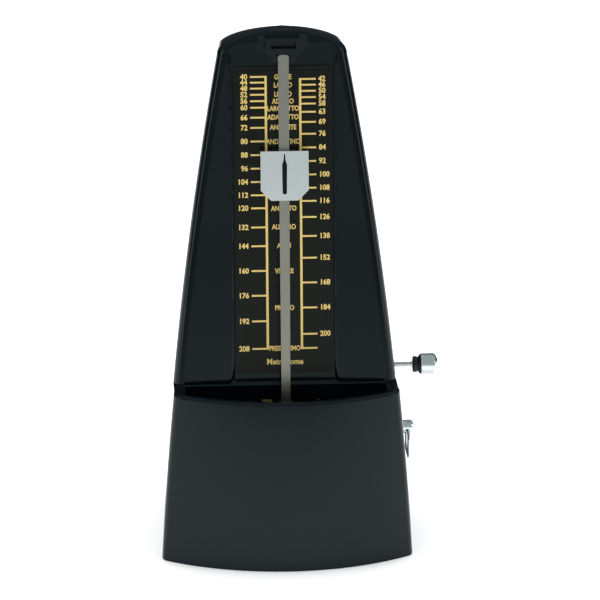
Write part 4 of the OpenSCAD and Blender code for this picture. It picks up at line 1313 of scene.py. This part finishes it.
@dataclass
class Studio:
    """A plain pale floor, soft lights and the camera."""

    floor_r: float = 3.0
    azimuth: float = -3.5
    elevation: float = 18.0
    distance: float = 2.5
    across: float = 0.2459
    sensor: float = 36.0
    aim: tuple[float, float, float] = (0.0054, -0.032, 0.1105)

    def camera(self) -> None:
        """Adds the camera."""
        a, e = math.radians(self.azimuth), math.radians(self.elevation)
        towards = Vector((math.sin(a), -math.cos(a), 0.0)) * math.cos(e) + Vector((0, 0, math.sin(e)))
        data = bpy.data.cameras.new("camera")
        data.sensor_width = self.sensor
        data.lens = self.sensor * self.distance / self.across
        data.clip_end = 50.0
        camera = bpy.data.objects.new("camera", data)
        camera.location = Vector(self.aim) + towards * self.distance
        camera.rotation_euler = (-towards).to_track_quat("-Z", "Y").to_euler()
        bpy.context.scene.collection.objects.link(camera)
        bpy.context.scene.camera = camera

    def light(self, name: str, place: tuple[float, float, float], aim: tuple[float, float, float],
              size: tuple[float, float], power: float, mirrored: bool = True) -> None:
        """Adds a soft rectangular light.

        Args:
            name: its name.
            place: where it stands, in metres.
            aim: what it faces.
            size: its width and height.
            power: in watts.
            mirrored: False where polished pieces don't show it.
        """
        data = bpy.data.lights.new(name, "AREA")
        data.shape = "RECTANGLE"
        data.size, data.size_y = size
        data.energy = power
        lamp = bpy.data.objects.new(name, data)
        lamp.visible_glossy = mirrored
        lamp.location = place
        lamp.rotation_euler = (Vector(aim) - Vector(place)).to_track_quat("-Z", "Y").to_euler()
        bpy.context.scene.collection.objects.link(lamp)

    def world(self) -> None:
        """Adds a soft surround: pale above and in front, dark low down behind."""
        world = bpy.data.worlds.new("surround")
        bpy.context.scene.world = world
        world.use_nodes = True
        tree = world.node_tree
        backdrop = tree.nodes["Background"]
        place = tree.nodes.new("ShaderNodeTexCoord")
        lean = tree.nodes.new("ShaderNodeVectorMath")
        lean.operation = "DOT_PRODUCT"
        lean.inputs[1].default_value = (0.0, -0.45, 0.9)
        tree.links.new(place.outputs["Generated"], lean.inputs[0])
        ramp = tree.nodes.new("ShaderNodeValToRGB")
        ramp.color_ramp.elements[0].position = 0.0
        ramp.color_ramp.elements[0].color = (0.06, 0.065, 0.07, 1.0)
        ramp.color_ramp.elements[1].position = 0.55
        ramp.color_ramp.elements[1].color = (0.4, 0.44, 0.45, 1.0)
        tree.links.new(lean.outputs["Value"], ramp.inputs["Fac"])
        tree.links.new(ramp.outputs["Color"], backdrop.inputs["Color"])
        backdrop.inputs["Strength"].default_value = 1.0

    def floor(self) -> None:
        """Adds the floor."""
        bpy.ops.mesh.primitive_circle_add(vertices=128, radius=self.floor_r, fill_type="NGON")
        ground = bpy.context.active_object
        ground.name = "studio_floor"
        paper = bpy.data.materials.new("white_paper")
        paper.use_nodes = True
        shader = paper.node_tree.nodes["Principled BSDF"]
        shader.inputs["Base Color"].default_value = (0.93, 0.93, 0.93, 1.0)
        shader.inputs["Roughness"].default_value = 0.9
        shader.inputs["Specular IOR Level"].default_value = 0.1
        ground.data.materials.append(paper)

    def build(self) -> None:
        """Sets up the whole studio."""
        bpy.context.scene.view_settings.view_transform = "Standard"
        self.camera()
        self.world()
        self.floor()
        middle = (0.0, 0.0, 0.1)
        self.light("overhead", (0.0, 0.5, 1.5), (0.0, 0.5, 0.0), (3.2, 1.5), 62.0, mirrored=False)
        self.light("front_card", (0.0, -1.9, 0.2), (0.0, 0.0, 0.15), (0.62, 0.36), 0.24)
        self.light("left_window", (-1.5, -0.5, 0.45), middle, (0.5, 0.9), 2.2)
        self.light("right_window", (1.5, -0.5, 0.45), middle, (0.5, 0.9), 2.2)


def corners(box: Sequence[Vector]) -> list[list[float]]:
    """Returns a box's two corners as plain lists of numbers."""
    return [[round(float(v), 6) for v in corner] for corner in box]


def main() -> None:
    """Builds and dresses every piece."""
    logging.basicConfig(level=logging.INFO, format="%(message)s")
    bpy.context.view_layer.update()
    Studio().build()
    finisher = Finisher()
    Movement(finisher).build()
    for assembly in (Case, ScalePanel, Pendulum, Catch, BellPull, WindingKey):
        assembly(finisher).build()


if __name__ == "__main__":
    main()
